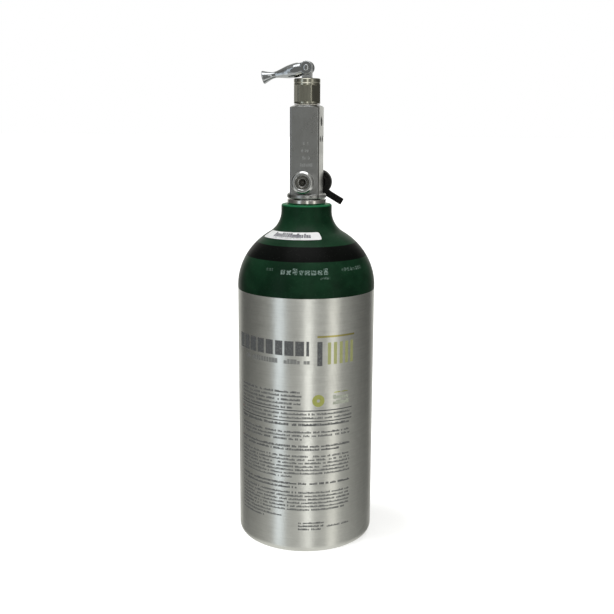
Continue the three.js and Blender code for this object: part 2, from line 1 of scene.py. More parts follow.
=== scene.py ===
# Small aluminium oxygen cylinder with a pin-index post valve, a flip-up toggle lever and a tethered dust cap.
# Each piece is turned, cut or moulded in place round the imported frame. Outlines are in millimetres.
import math
import bpy
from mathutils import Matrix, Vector


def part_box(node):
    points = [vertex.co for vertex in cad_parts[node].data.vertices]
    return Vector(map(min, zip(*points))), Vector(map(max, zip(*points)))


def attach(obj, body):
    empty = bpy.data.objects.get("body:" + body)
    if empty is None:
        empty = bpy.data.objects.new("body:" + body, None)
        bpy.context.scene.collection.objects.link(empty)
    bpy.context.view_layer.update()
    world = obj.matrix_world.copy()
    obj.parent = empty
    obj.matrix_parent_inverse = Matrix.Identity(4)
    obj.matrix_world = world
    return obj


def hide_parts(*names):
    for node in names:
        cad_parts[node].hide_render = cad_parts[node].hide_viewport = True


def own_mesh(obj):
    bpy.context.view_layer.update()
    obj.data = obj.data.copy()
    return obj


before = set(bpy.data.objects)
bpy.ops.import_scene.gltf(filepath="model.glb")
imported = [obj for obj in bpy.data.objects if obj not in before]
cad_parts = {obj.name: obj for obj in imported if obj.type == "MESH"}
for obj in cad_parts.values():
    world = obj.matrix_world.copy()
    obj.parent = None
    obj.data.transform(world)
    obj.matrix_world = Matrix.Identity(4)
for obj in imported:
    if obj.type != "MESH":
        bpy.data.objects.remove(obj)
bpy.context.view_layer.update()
scene = bpy.context.scene
mm = 0.001
mergeGap = 2e-6  # metres


def enterEdit():
    bpy.ops.object.mode_set(mode="EDIT")


def leaveEdit():
    bpy.ops.object.mode_set(mode="OBJECT")


def editAll():
    enterEdit()
    bpy.ops.mesh.select_all(action="SELECT")


def clearSelection():
    if bpy.context.mode != "OBJECT":
        leaveEdit()
    bpy.ops.object.select_all(action="DESELECT")


def pick(piece):
    clearSelection()
    piece.select_set(True)
    bpy.context.view_layer.objects.active = piece


def toWorld(piece):
    pick(piece)
    bpy.ops.object.transform_apply(location=True, rotation=True, scale=True)


def closeUp(piece):
    # Merges the seams and poles and turns the faces outwards.
    pick(piece)
    editAll()
    bpy.ops.mesh.remove_doubles(threshold=mergeGap)
    bpy.ops.mesh.normals_make_consistent(inside=False)
    leaveEdit()


def modify(piece, name, kind, **settings):
    # Adds a modifier and applies it at once.
    pick(piece)
    modifier = piece.modifiers.new(name, kind)
    for setting, value in settings.items():
        setattr(modifier, setting, value)
    bpy.ops.object.modifier_apply(modifier=modifier.name)


def traceWire(name, points):
    # A wire through points given as Vectors in metres.
    clearSelection()
    bpy.ops.mesh.primitive_plane_add(size=mm, location=points[0])
    piece = bpy.context.object
    piece.name = name
    editAll()
    bpy.ops.mesh.merge(type="CENTER")
    for here, there in zip(points, points[1:]):
        bpy.ops.mesh.extrude_region_move(TRANSFORM_OT_translate={"value": there - here})
    leaveEdit()
    toWorld(piece)
    return piece


def turnPiece(name, outline, segments=96):
    # Turns a closed (radius, height) outline about the upright axis.
    points = [Vector((r, 0, z)) * mm for r, z in outline]
    if outline[0][0] > 0 or outline[-1][0] > 0:
        points.append(points[0].copy())
    piece = traceWire(name, points)
    editAll()
    bpy.ops.mesh.spin(steps=segments, angle=2 * math.pi, center=(0, 0, 0), axis=(0, 0, 1))
    closeUp(piece)
    return piece


def rodPiece(name, radius, low, high, segments):
    return turnPiece(name, [(0, low), (radius, low), (radius, high), (0, high)], segments)


def ringPiece(name, inner, outer, low, high, segments=96):
    return turnPiece(name, [(inner, low), (outer, low), (outer, high), (inner, high)], segments)


def platePiece(name, outline, front, back):
    # A plate cut to an (x, z) outline, from y = front to y = back.
    points = [Vector((x, front, z)) * mm for x, z in outline]
    piece = traceWire(name, points + [points[0].copy()])
    editAll()
    bpy.ops.mesh.remove_doubles(threshold=mergeGap)
    bpy.ops.mesh.edge_face_add()
    bpy.ops.mesh.extrude_region_move(TRANSFORM_OT_translate={"value": (0, (back - front) * mm, 0)})
    closeUp(piece)
    return piece


def blockPiece(name, size, centre):
    clearSelection()
    bpy.ops.mesh.primitive_cube_add(size=1, location=Vector(centre) * mm)
    piece = bpy.context.object
    piece.name = name
    piece.scale = Vector(size) * mm
    toWorld(piece)
    return piece


def hexagonBar(flats, length, level=0):
    # A six-sided bar standing upright, with one of its flats facing the front.
    clearSelection()
    bpy.ops.mesh.primitive_cylinder_add(vertices=6, radius=flats / math.sqrt(3) * mm, depth=length * mm,
                                        location=(0, 0, level * mm), rotation=(0, 0, math.pi / 6))
    piece = bpy.context.object
    toWorld(piece)
    return piece


def place(piece, turn=(0, 0, 0), at=(0, 0, 0)):
    piece.rotation_euler = [math.radians(a) for a in turn]
    piece.location = Vector(at) * mm
    toWorld(piece)
    return piece


def alongFront(piece, y, z, x=0):
    return place(piece, (90, 0, 0), (x, y, z))  # its axis points to -Y


def alongBack(piece, y, z, x=0):
    return place(piece, (-90, 0, 0), (x, y, z))  # its axis points to +Y


def alongRight(piece, x, z, y=0):
    return place(piece, (0, 90, 0), (x, y, z))  # its axis points to +X


def combine(piece, tool, operation):
    modify(piece, "change", "BOOLEAN", operation=operation, solver="EXACT", object=tool)
    bpy.data.objects.remove(tool)


def cut(piece, *tools):
    for tool in tools:
        combine(piece, tool, "DIFFERENCE")


def weld(piece, *tools):
    for tool in tools:
        combine(piece, tool, "UNION")


def softenEdges(piece, width, segments=3, angle=35):
    modify(piece, "edges", "BEVEL", width=width * mm, segments=segments, limit_method="ANGLE",
           angle_limit=math.radians(angle))


def remould(piece, voxel, rounds):
    # Melts joined shapes into one moulding: a fine remesh, then smoothing.
    modify(piece, "melt", "REMESH", mode="VOXEL", voxel_size=voxel * mm)
    modify(piece, "smooth", "SMOOTH", factor=0.5, iterations=rounds)


def shade(piece, angle=32):
    pick(piece)
    bpy.ops.object.shade_smooth_by_angle(angle=math.radians(angle))


def fit(piece, body, slot, materials, *nodes):
    # Puts a finished piece on its body, in place of its CAD nodes.
    piece.data.materials.clear()
    for material in materials:
        piece.data.materials.append(material)
    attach(piece, body)
    if nodes:
        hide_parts(*nodes)
    return piece


def arc(x, z, rx, rz, start, end, steps):
    angles = [math.radians(start + (end - start) * i / steps) for i in range(steps + 1)]
    return [(x + rx * math.cos(a), z + rz * math.sin(a)) for a in angles]


def softOutline(corners, step=15):
    # A closed outline whose corners (x, z, radius) are rounded. A radius left out is a sharp corner.
    points = []
    for i, corner in enumerate(corners):
        here = Vector(corner[:2])
        radius = corner[2] if len(corner) > 2 else 0
        if not radius:
            points.append(tuple(here))
            continue
        toBefore = (Vector(corners[i - 1][:2]) - here).normalized()
        toAfter = (Vector(corners[(i + 1) % len(corners)][:2]) - here).normalized()
        half = toBefore.angle(toAfter) / 2
        centre = here + (toBefore + toAfter).normalized() * (radius / math.sin(half))
        start = here + toBefore * (radius / math.tan(half)) - centre
        sweep = math.pi - 2 * half
        side = 1 if toBefore.x * toAfter.y - toBefore.y * toAfter.x < 0 else -1
        steps = max(2, math.ceil(math.degrees(sweep) / step))
        for k in range(steps + 1):
            a = side * sweep * k / steps
            turned = Vector((start.x * math.cos(a) - start.y * math.sin(a),
                             start.x * math.sin(a) + start.y * math.cos(a)))
            points.append(tuple(centre + turned))
    return points


def washerOutline(size, soft):
    # A flat ring with its outer corners rounded.
    return softOutline([(size["inner"], size["low"]), (size["outer"], size["low"], soft),
                        (size["outer"], size["high"], soft), (size["inner"], size["high"])])


def plug(tree, value, socket):
    if isinstance(value, bpy.types.NodeSocket):
        tree.links.new(value, socket)
    else:
        socket.default_value = value


def calc(tree, operation, *values, clamp=False):
    node = tree.nodes.new("ShaderNodeMath")
    node.operation = operation
    node.use_clamp = clamp
    for value, socket in zip(values, node.inputs):
        plug(tree, value, socket)
    return node.outputs[0]


def times(tree, *values, **settings):
    return calc(tree, "MULTIPLY", *values, **settings)


def plus(tree, *values, **settings):
    return calc(tree, "ADD", *values, **settings)


def minus(tree, *values, **settings):
    return calc(tree, "SUBTRACT", *values, **settings)


def larger(tree, *values):
    return calc(tree, "MAXIMUM", *values)


def vectorCalc(tree, operation, *values, scale=None):
    node = tree.nodes.new("ShaderNodeVectorMath")
    node.operation = operation
    if scale is not None:
        node.inputs["Scale"].default_value = scale
    for value, socket in zip(values, node.inputs):
        plug(tree, value, socket)
    return node.outputs[0]


def noise(tree, vector, scale, detail=3.0, roughness=0.5, output="Fac"):
    node = tree.nodes.new("ShaderNodeTexNoise")
    node.noise_dimensions = "3D"
    plug(tree, vector, node.inputs["Vector"])
    plug(tree, scale, node.inputs["Scale"])
    node.inputs["Detail"].default_value = detail
    node.inputs["Roughness"].default_value = roughness
    return node.outputs[output]


def between(tree, value, low, high, toLow=0.0, toHigh=1.0):
    node = tree.nodes.new("ShaderNodeMapRange")
    node.interpolation_type = "SMOOTHSTEP"
    plug(tree, value, node.inputs["Value"])
    plug(tree, low, node.inputs["From Min"])
    plug(tree, high, node.inputs["From Max"])
    plug(tree, toLow, node.inputs["To Min"])
    plug(tree, toHigh, node.inputs["To Max"])
    return node.outputs[0]


def blendColour(tree, amount, first, second, mode="MIX"):
    node = tree.nodes.new("ShaderNodeMix")
    node.data_type = "RGBA"
    node.blend_type = mode
    plug(tree, amount, node.inputs[0])
    plug(tree, first, node.inputs[6])
    plug(tree, second, node.inputs[7])
    return node.outputs[2]


def stain(tree, colour, mask, weight, other):
    return blendColour(tree, times(tree, mask, weight), colour, other)


def split(tree, vector):
    node = tree.nodes.new("ShaderNodeSeparateXYZ")
    plug(tree, vector, node.inputs[0])
    return node.outputs


def gather(tree, x, y, z):
    node = tree.nodes.new("ShaderNodeCombineXYZ")
    for value, socket in zip((x, y, z), node.inputs):
        plug(tree, value, socket)
    return node.outputs[0]


def bump(tree, height, strength, distance):
    node = tree.nodes.new("ShaderNodeBump")
    plug(tree, height, node.inputs["Height"])
    node.inputs["Strength"].default_value = strength
    node.inputs["Distance"].default_value = distance
    return node.outputs[0]


def newGroup(name, inputs, outputs):
    tree = bpy.data.node_groups.new(name, "ShaderNodeTree")
    kinds = {"value": "NodeSocketFloat", "vector": "NodeSocketVector"}
    for label, kind, default in inputs:
        socket = tree.interface.new_socket(name=label, in_out="INPUT", socket_type=kinds[kind])
        if default is not None:
            socket.default_value = default
    for label in outputs:
        tree.interface.new_socket(name=label, in_out="OUTPUT", socket_type="NodeSocketFloat")
    source = tree.nodes.new("NodeGroupInput").outputs
    target = tree.nodes.new("NodeGroupOutput").inputs
    return tree, source, target


def useGroup(tree, group, **values):
    node = tree.nodes.new("ShaderNodeGroup")
    node.node_tree = group
    for label, value in values.items():
        plug(tree, value, node.inputs[label])
    return node.outputs


def makeGrain():
    # Fine marks drawn out along one direction: Stretch is small along the marks and large across them.
    tree, source, target = newGroup(
        "drawnGrain",
        [("Place", "vector", None), ("Stretch", "vector", (40, 40, 4000)), ("Depth", "value", 0.5)],
        ["Marks", "Tone"])
    stretched = vectorCalc(tree, "MULTIPLY", source["Place"], source["Stretch"])
    fine = noise(tree, stretched, 1.0, 4.0, 0.7)
    broad = noise(tree, stretched, 0.23, 2.0, 0.5)
    both = plus(tree, times(tree, fine, 0.65), times(tree, broad, 0.35))
    tree.links.new(both, target["Marks"])
    tone = times(tree, minus(tree, both, 0.5), source["Depth"])
    tree.links.new(tone, target["Tone"])
    return tree


def makeSmudge():
    # Soft patches left by handling.
    tree, source, target = newGroup(
        "handlingSmudge", [("Place", "vector", None), ("Size", "value", 30.0)], ["Patch"])
    wide = noise(tree, source["Place"], source["Size"], 3.0, 0.6)
    close = noise(tree, source["Place"], times(tree, source["Size"], 4.3), 2.0, 0.6)
    mixed = plus(tree, times(tree, wide, 0.7), times(tree, close, 0.3))
    tree.links.new(between(tree, mixed, 0.38, 0.66), target["Patch"])
    return tree


def makeScratches():
    # Hair-thin scratches: the walls of long, thin cells, kept only here and there.
    tree, source, target = newGroup(
        "hairScratches",
        [("Place", "vector", None), ("Size", "value", 120.0), ("Amount", "value", 0.4)], ["Scratch"])
    sway = noise(tree, source["Place"], source["Size"], 2.0, 0.5, "Color")
    bent = vectorCalc(tree, "ADD", source["Place"], vectorCalc(tree, "SCALE", sway, scale=0.004))
    cell = tree.nodes.new("ShaderNodeTexVoronoi")
    cell.feature = "DISTANCE_TO_EDGE"
    tree.links.new(vectorCalc(tree, "MULTIPLY", bent, (1.0, 1.0, 0.28)), cell.inputs["Vector"])
    plug(tree, source["Size"], cell.inputs["Scale"])
    thin = between(tree, cell.outputs["Distance"], 0.0, 0.018, 1.0, 0.0)
    cloud = noise(tree, source["Place"], times(tree, source["Size"], 0.6), 2.0)
    kept = between(tree, cloud, minus(tree, 0.75, times(tree, source["Amount"], 0.4)), 0.8)
    tree.links.new(times(tree, thin, kept), target["Scratch"])
    return tree


def makeSpecks():
    # Small specks of dust or grit, most of them left out.
    tree, source, target = newGroup(
        "dustSpecks",
        [("Place", "vector", None), ("Size", "value", 700.0), ("Amount", "value", 0.2)], ["Speck"])
    cell = tree.nodes.new("ShaderNodeTexVoronoi")
    plug(tree, source["Place"], cell.inputs["Vector"])
    plug(tree, source["Size"], cell.inputs["Scale"])
    dot = between(tree, cell.outputs["Distance"], 0.12, 0.3, 1.0, 0.0)
    pickOut = split(tree, cell.outputs["Color"])[0]
    kept = calc(tree, "LESS_THAN", pickOut, source["Amount"])
    tree.links.new(times(tree, dot, kept), target["Speck"])
    return tree


def makeRuler():
    # Places on the bottle in millimetres: round it from the front towards the outlet side, and up it.
    tree, source, target = newGroup(
        "bottleRuler", [("Place", "vector", None), ("Radius", "value", 55.55)], ["Arc", "Height"])
    x, y, z = split(tree, source["Place"])
    angle = calc(tree, "ARCTAN2", x, times(tree, y, -1.0))
    tree.links.new(times(tree, angle, source["Radius"]), target["Arc"])
    tree.links.new(times(tree, z, 1000.0), target["Height"])
    return tree


def makeDashRows():
    # Rows of small plain dashes, standing for print. All sizes are in millimetres on the surface.
    tree, source, target = newGroup(
        "dashRows",
        [("Arc", "value", 0), ("Height", "value", 0), ("Top", "value", 100), ("Pitch", "value", 3),
         ("Rows", "value", 3), ("Tall", "value", 1.3), ("Left", "value", -50), ("Right", "value", 50),
         ("Last", "value", 50), ("Cell", "value", 1.1), ("Gaps", "value", 0.16), ("Seed", "value", 1),
         ("Fill", "value", 0.3), ("Vary", "value", 0.18), ("Short", "value", 0.45)],
        ["Mask"])
    below = minus(tree, source["Top"], source["Height"])
    down = plus(tree, calc(tree, "DIVIDE", below, source["Pitch"]), 0.5)
    row = calc(tree, "FLOOR", down)
    across = calc(tree, "DIVIDE", minus(tree, source["Arc"], source["Left"]), source["Cell"])
    column = calc(tree, "FLOOR", across)
    draw = tree.nodes.new("ShaderNodeTexWhiteNoise")
    tree.links.new(gather(tree, column, row, source["Seed"]), draw.inputs["Vector"])
    pickOut, width, lift = split(tree, draw.outputs["Color"])
    inCell = calc(tree, "ABSOLUTE", minus(tree, minus(tree, across, column), 0.5))
    inWidth = calc(tree, "LESS_THAN", inCell, plus(tree, source["Fill"], times(tree, width, source["Vary"])))
    fromMiddle = times(tree, source["Pitch"], minus(tree, minus(tree, down, row), 0.5))
    half = times(tree, source["Tall"], 0.5)
    isTall = calc(tree, "GREATER_THAN", lift, source["Short"])
    top = times(tree, half, plus(tree, 0.45, times(tree, isTall, 0.55)))
    inTall = times(tree, calc(tree, "LESS_THAN", fromMiddle, half),
                   calc(tree, "GREATER_THAN", fromMiddle, times(tree, top, -1.0)))
    notGap = calc(tree, "GREATER_THAN", pickOut, source["Gaps"])
    isLast = calc(tree, "GREATER_THAN", row, minus(tree, source["Rows"], 1.5))
    ragged = tree.nodes.new("ShaderNodeTexWhiteNoise")
    tree.links.new(gather(tree, row, source["Seed"], 3.7), ragged.inputs["Vector"])
    plainEnd = minus(tree, source["Right"], times(tree, ragged.outputs["Value"], 2.0))
    end = plus(tree, times(tree, isLast, source["Last"]), times(tree, minus(tree, 1.0, isLast), plainEnd))
    inRow = times(tree, calc(tree, "GREATER_THAN", source["Arc"], source["Left"]),
                  calc(tree, "LESS_THAN", source["Arc"], end))
    inBlock = times(tree, calc(tree, "GREATER_THAN", row, -0.5),
                    calc(tree, "LESS_THAN", row, minus(tree, source["Rows"], 0.5)))
    mask = inWidth
    for part in (inTall, notGap, inRow, inBlock):
        mask = times(tree, mask, part)
    tree.links.new(mask, target["Mask"])
    return tree


def makeBar():
    # One plain bar between four edges, with soft sides of the given width.
    tree, source, target = newGroup(
        "plainBar",
        [("Arc", "value", 0), ("Height", "value", 0), ("Left", "value", -1), ("Right", "value", 1),
         ("Low", "value", 0), ("High", "value", 1), ("Soft", "value", 0.1)],
        ["Mask"])
    mask = 1.0
    for position, edge, side in (("Arc", "Left", 1.0), ("Arc", "Right", -1.0), ("Height", "Low", 1.0),
                                 ("Height", "High", -1.0)):
        past = times(tree, minus(tree, source[position], source[edge]), side)
        mask = times(tree, mask, calc(tree, "DIVIDE", past, source["Soft"], clamp=True))
    tree.links.new(mask, target["Mask"])
    return tree


grain = makeGrain()
smudge = makeSmudge()
scratches = makeScratches()
specks = makeSpecks()
ruler = makeRuler()
dashRows = makeDashRows()
plainBar = makeBar()


def newMaterial(name, metallic=0.0, **sockets):
    material = bpy.data.materials.new(name)
    material.use_nodes = True
    tree = material.node_tree
    tree.nodes.clear()
    shader = tree.nodes.new("ShaderNodeBsdfPrincipled")
    output = tree.nodes.new("ShaderNodeOutputMaterial")
    tree.links.new(shader.outputs[0], output.inputs[0])
    shader.inputs["Metallic"].default_value = metallic
    for label, value in sockets.items():
        shader.inputs[label.replace("_", " ")].default_value = value
    position = tree.nodes.new("ShaderNodeTexCoord").outputs["Object"]
    return material, tree, shader.inputs, position


bottle = {
    "radius": 55.55, "base": 7.0, "recess": (36.0, 2.5), "wall": 6.0, "floor": 11.0, "corner": 14.0,
    "shoulder": 211.0, "rise": 51.3, "neck": 20.2, "fillet": 20.0, "top": 277.0, "edge": 1.5,
    "gland": (12.4, 2.9), "bore": 9.7,
    "paintFrom": 209.3, "paintThick": 0.1, "band": (236.3, 246.8), "printTurn": 3.3,
}

# Each block of print: top row, pitch, rows, height of a row, left and right in degrees, right end of the
# last row, and how dark it is.
printBlocks = [
    (135.3, 3.15, 5, 1.45, -57.5, 4.5, -3.5, 0.80),
    (117.6, 3.10, 2, 1.40, -57.5, 48.0, 48.5, 0.75),
    (109.0, 3.00, 1, 1.70, -57.5, 48.0, 46.0, 0.85),
    (102.8, 2.90, 3, 1.40, -57.5, 47.0, 4.5, 0.78),
    (91.2, 2.70, 2, 1.50, -57.5, 48.0, 36.0, 0.84),
    (82.9, 2.85, 7, 1.35, -57.5, 47.0, -3.5, 0.75),
    (60.2, 3.10, 2, 1.50, -57.5, 48.0, 0.5, 0.84),
    (52.6, 2.88, 6, 1.35, -57.5, 47.0, 42.0, 0.75),
    (35.3, 2.90, 1, 1.35, -57.5, -20.0, -22.5, 0.75),
    (32.4, 2.90, 1, 1.35, -57.5, -12.0, -12.5, 0.75),
    (29.5, 2.90, 1, 1.35, -57.5, -29.0, -29.5, 0.75),
    (26.9, 2.70, 3, 1.30, 1.5, 24.5, 20.5, 0.80),
    (23.4, 2.70, 1, 1.30, 25.5, 46.5, 46.5, 0.70),
]

# The larger marks, one row of bars each unless it says more, and the single bars: left and right in degrees,
# low, high and the softness of the edge.
printRows = {
    "heading": {"top": 170.2, "pitch": 20.0, "tall": 11.6, "left": -62.5, "right": 12.0, "last": 10.0,
                "seed": 31.0, "Cell": 8.4, "Gaps": 0.0, "Fill": 0.36, "Vary": 0.08, "Short": 0.0},
    "underHeading": {"top": 159.8, "pitch": 12.0, "tall": 3.8, "left": -53.5, "right": 12.0, "last": 10.5,
                     "seed": 32.0, "Cell": 2.6, "Gaps": 0.12},
    "limeBars": {"top": 166.0, "pitch": 24.0, "tall": 17.5, "left": 24.0, "right": 50.5, "last": 50.4,
                 "seed": 41.0, "Cell": 5.1, "Gaps": 0.0, "Fill": 0.27, "Vary": 0.0, "Short": 0.0},
    "palePatch": {"top": 130.6, "pitch": 4.4, "count": 2, "tall": 3.4, "left": 30.0, "right": 45.5,
                  "last": 45.5, "seed": 43.0, "Cell": 2.9, "Gaps": 0.0},
    "smallLime": {"top": 134.4, "pitch": 16.0, "tall": 0.9, "left": 31.0, "right": 44.0, "last": 44.0,
                  "seed": 44.0, "Cell": 1.1, "Gaps": 0.1},
}
printBars = {
    "upperRule": (-58.5, 48.5, 119.9, 120.8, 0.05),
    "lowerRule": (-58.5, 48.5, 111.2, 112.1, 0.05),
    "upright": (16.4, 21.0, 156.2, 175.8, 0.4),
    "limeRule": (16.4, 50.4, 178.6, 180.4, 0.3),
    "upperRed": (-59.0, -55.5, 114.6, 116.6, 0.3),
    "lowerRed": (-59.0, -56.0, 90.4, 92.0, 0.3),
}
ringMark = {"angle": 17.8, "height": 128.4, "outer": 4.9, "inner": 1.3, "soft": 0.15}


def degreesToArc(angle):
    return math.radians(angle + bottle["printTurn"]) * bottle["radius"]


def brushedBottle():
    material, tree, sockets, position = newMaterial(
        "brushedBottle", 1.0, Anisotropic=0.8, Anisotropic_Rotation=0.25, Specular_IOR_Level=0.2)
    arcAt, height = useGroup(tree, ruler, Place=position)

    def rows(top, pitch, tall, left, right, last, seed, count=1, **sizes):
        sizes = {"Cell": 1.3, "Gaps": 0.09, "Fill": 0.35, **sizes}
        return useGroup(tree, dashRows, Arc=arcAt, Height=height, Top=top, Pitch=pitch, Rows=count,
                        Tall=tall, Left=degreesToArc(left), Right=degreesToArc(right),
                        Last=degreesToArc(last), Seed=seed, **sizes)[0]

    def bar(name):
        left, right, low, high, soft = printBars[name]
        return useGroup(tree, plainBar, Arc=arcAt, Height=height, Left=degreesToArc(left),
                        Right=degreesToArc(right), Low=low, High=high, Soft=soft)[0]

    def roundSpot(radius):
        along = calc(tree, "POWER", minus(tree, arcAt, degreesToArc(ringMark["angle"])), 2.0)
        up = calc(tree, "POWER", minus(tree, height, ringMark["height"]), 2.0)
        away = calc(tree, "SQRT", plus(tree, along, up))
        return between(tree, away, radius - ringMark["soft"], radius + ringMark["soft"], 1.0, 0.0)

    # Turned grain runs round the wall, with broad streaks in it.
    around = gather(tree, times(tree, arcAt, 0.09), 0.0, height)
    lines = useGroup(tree, grain, Place=around, Stretch=(1.0, 1.0, 2.6), Depth=1.7)
    patch = useGroup(tree, smudge, Place=position, Size=16.0)[0]
    mottle = useGroup(tree, smudge, Place=position, Size=150.0)[0]
    scratch = useGroup(tree, scratches, Place=position, Size=45.0, Amount=0.35)[0]
    colour = blendColour(tree, plus(tree, 0.5, lines["Tone"], clamp=True),
                         (0.58, 0.585, 0.565, 1), (0.82, 0.825, 0.80, 1))
    colour = stain(tree, colour, patch, 0.14, (0.52, 0.52, 0.50, 1))
    colour = stain(tree, colour, mottle, 0.16, (0.48, 0.485, 0.46, 1))
    colour = stain(tree, colour, scratch, 0.35, (0.86, 0.87, 0.86, 1))

    # Dark print: blocks of dashes, a heading of bars and ruled lines.
    marks = [(rows(top, pitch, tall * 1.18, left, right, last, float(seed + 1), count), weight)
             for seed, (top, pitch, count, tall, left, right, last, weight) in enumerate(printBlocks)]
    marks += [(rows(**printRows["heading"]), 0.88), (rows(**printRows["underHeading"]), 0.6),
              (bar("upperRule"), 0.95), (bar("lowerRule"), 0.95), (bar("upright"), 0.88)]
    dark = 0.0
    for mark, weight in marks:
        dark = larger(tree, dark, times(tree, mark, weight))

    # Lime print: equal bars under a line, a ring, a small row and a pale patch.
    ring = minus(tree, roundSpot(ringMark["outer"]), roundSpot(ringMark["inner"]))
    lime = larger(tree, times(tree, rows(**printRows["limeBars"]), 0.8), ring)
    pale = rows(**printRows["palePatch"])
    small = rows(**printRows["smallLime"])
    red = larger(tree, bar("upperRed"), bar("lowerRed"))
    colour = stain(tree, colour, pale, 0.45, (0.45, 0.52, 0.36, 1))
    colour = stain(tree, colour, larger(tree, lime, small), 0.9, (0.47, 0.50, 0.10, 1))
    colour = stain(tree, colour, bar("limeRule"), 0.85, (0.44, 0.38, 0.07, 1))
    colour = stain(tree, colour, red, 0.5, (0.35, 0.10, 0.08, 1))

    # The ink is a little worn, so the brushed grain shows through it.
    wear = between(tree, noise(tree, position, 900.0, 3.0, 0.7), 0.30, 0.52, 0.78, 1.0)
    ink = times(tree, dark, wear)
    colour = blendColour(tree, ink, colour, (0.055, 0.06, 0.07, 1))
    plug(tree, colour, sockets["Base Color"])
    cover = larger(tree, ink, times(tree, larger(tree, lime, pale), 0.8))
    plug(tree, minus(tree, 1.0, cover, clamp=True), sockets["Metallic"])
    rough = plus(tree, 0.36, times(tree, patch, 0.07))
    rough = plus(tree, rough, times(tree, lines["Tone"], 0.25))
    plug(tree, plus(tree, rough, times(tree, cover, 0.12)), sockets["Roughness"])
    relief = plus(tree, lines["Marks"], times(tree, scratch, -0.8))
    plug(tree, bump(tree, relief, 0.3, 0.00015), sockets["Normal"])
    tangent = tree.nodes.new("ShaderNodeTangent")
    tangent.direction_type = "RADIAL"
    tangent.axis = "Z"
    plug(tree, tangent.outputs[0], sockets["Tangent"])
    return material


# Struck marks round the shoulder, coloured lighter as a painted highlight, at the radius their angles are
# measured on: top, height and width of a mark, left and right in degrees, seed and strength.
stamps = {
    "radius": 51.0,
    "rows": [(229.6, 4.6, 4.7, -12.0, 31.0, 61.0, 1.0), (224.8, 2.0, 2.4, 22.0, 31.0, 62.0, 0.5),
             (230.6, 2.6, 2.4, -26.0, -19.0, 63.0, 0.45), (230.4, 2.6, 2.8, 42.0, 66.0, 64.0, 0.5)],
}


def struckMarksWithPaintedGlint(tree, position):
    arcAt, height = useGroup(tree, ruler, Place=position, Radius=stamps["radius"])
    marks = 0.0
    for top, tall, cell, left, right, seed, strength in stamps["rows"]:
        start, end = [math.radians(angle) * stamps["radius"] for angle in (left, right)]
        row = useGroup(tree, dashRows, Arc=arcAt, Height=height, Top=top, Pitch=9.0, Rows=1, Tall=tall,
                       Left=start, Right=end, Last=end, Cell=cell, Gaps=0.0, Seed=seed, Fill=0.34,
                       Vary=0.08)[0]
        marks = larger(tree, marks, times(tree, row, strength))
    worn = between(tree, noise(tree, position, 1150.0, 2.0, 0.7), 0.42, 0.60)
    return times(tree, marks, worn)


def enamel(name, deep, light, rough, gloss):
    material, tree, sockets, position = newMaterial(name, 0.0, Specular_IOR_Level=gloss)
    patch = useGroup(tree, smudge, Place=position, Size=22.0)[0]
    scratch = useGroup(tree, scratches, Place=position, Size=60.0, Amount=0.3)[0]
    dust = useGroup(tree, specks, Place=position, Size=1100.0, Amount=0.1)[0]
    marks = struckMarksWithPaintedGlint(tree, position)
    height = times(tree, split(tree, position)[2], 1000.0)
    # Painted highlight: a brighter green line round the neck's top edge.
    rim = between(tree, height, bottle["top"] - 1.6, bottle["top"] - 0.6)
    colour = stain(tree, deep, patch, 0.6, light)
    colour = stain(tree, colour, scratch, 0.16, (0.14, 0.19, 0.15, 1))
    colour = stain(tree, colour, dust, 0.12, (0.3, 0.32, 0.3, 1))
    # The struck marks are dented, and also coloured lighter as a painted highlight.
    colour = stain(tree, colour, marks, 0.85, (0.34, 0.46, 0.42, 1))
    colour = stain(tree, colour, rim, 0.85, (0.02, 0.20, 0.08, 1))
    plug(tree, colour, sockets["Base Color"])
    plug(tree, plus(tree, rough, times(tree, patch, 0.1)), sockets["Roughness"])
    peel = noise(tree, position, 700.0, 3.0, 0.5)
    relief = minus(tree, times(tree, peel, 0.3), marks)
    plug(tree, bump(tree, relief, 0.35, 0.0002), sockets["Normal"])
    return material


labelPrint = {
    "radius": 30.5,
    "bars": {"Top": 254.6, "Pitch": 12.0, "Rows": 1, "Tall": 2.9, "Left": -23.0, "Right": 9.5, "Last": 9.0,
             "Cell": 1.9, "Gaps": 0.1, "Seed": 71.0, "Fill": 0.36},
    "line": {"Top": 252.6, "Pitch": 12.0, "Rows": 1, "Tall": 0.6, "Left": -22.0, "Right": 2.5, "Last": 2.0,
             "Cell": 1.0, "Gaps": 0.15, "Seed": 72.0},
}


def labelFilm():
    material, tree, sockets, position = newMaterial("labelFilm", 0.0, Specular_IOR_Level=0.45)
    arcAt, height = useGroup(tree, ruler, Place=position, Radius=labelPrint["radius"])
    bars, line = [useGroup(tree, dashRows, Arc=arcAt, Height=height, **labelPrint[part])[0]
                  for part in ("bars", "line")]
    ink = larger(tree, times(tree, bars, 0.95), times(tree, line, 0.5))
    fade = noise(tree, position, 400.0, 2.0, 0.6)
    ink = times(tree, ink, between(tree, fade, 0.25, 0.6, 0.75, 1.0))
    soil = useGroup(tree, smudge, Place=position, Size=55.0)[0]
    film = stain(tree, (0.98, 0.985, 1.0, 1), soil, 0.35, (0.90, 0.92, 0.95, 1))
    plug(tree, blendColour(tree, ink, film, (0.11, 0.11, 0.14, 1)), sockets["Base Color"])
    plug(tree, plus(tree, 0.33, times(tree, soil, 0.12)), sockets["Roughness"])
    plug(tree, bump(tree, noise(tree, position, 260.0, 2.0, 0.5), 0.12, 0.0001), sockets["Normal"])
    return material


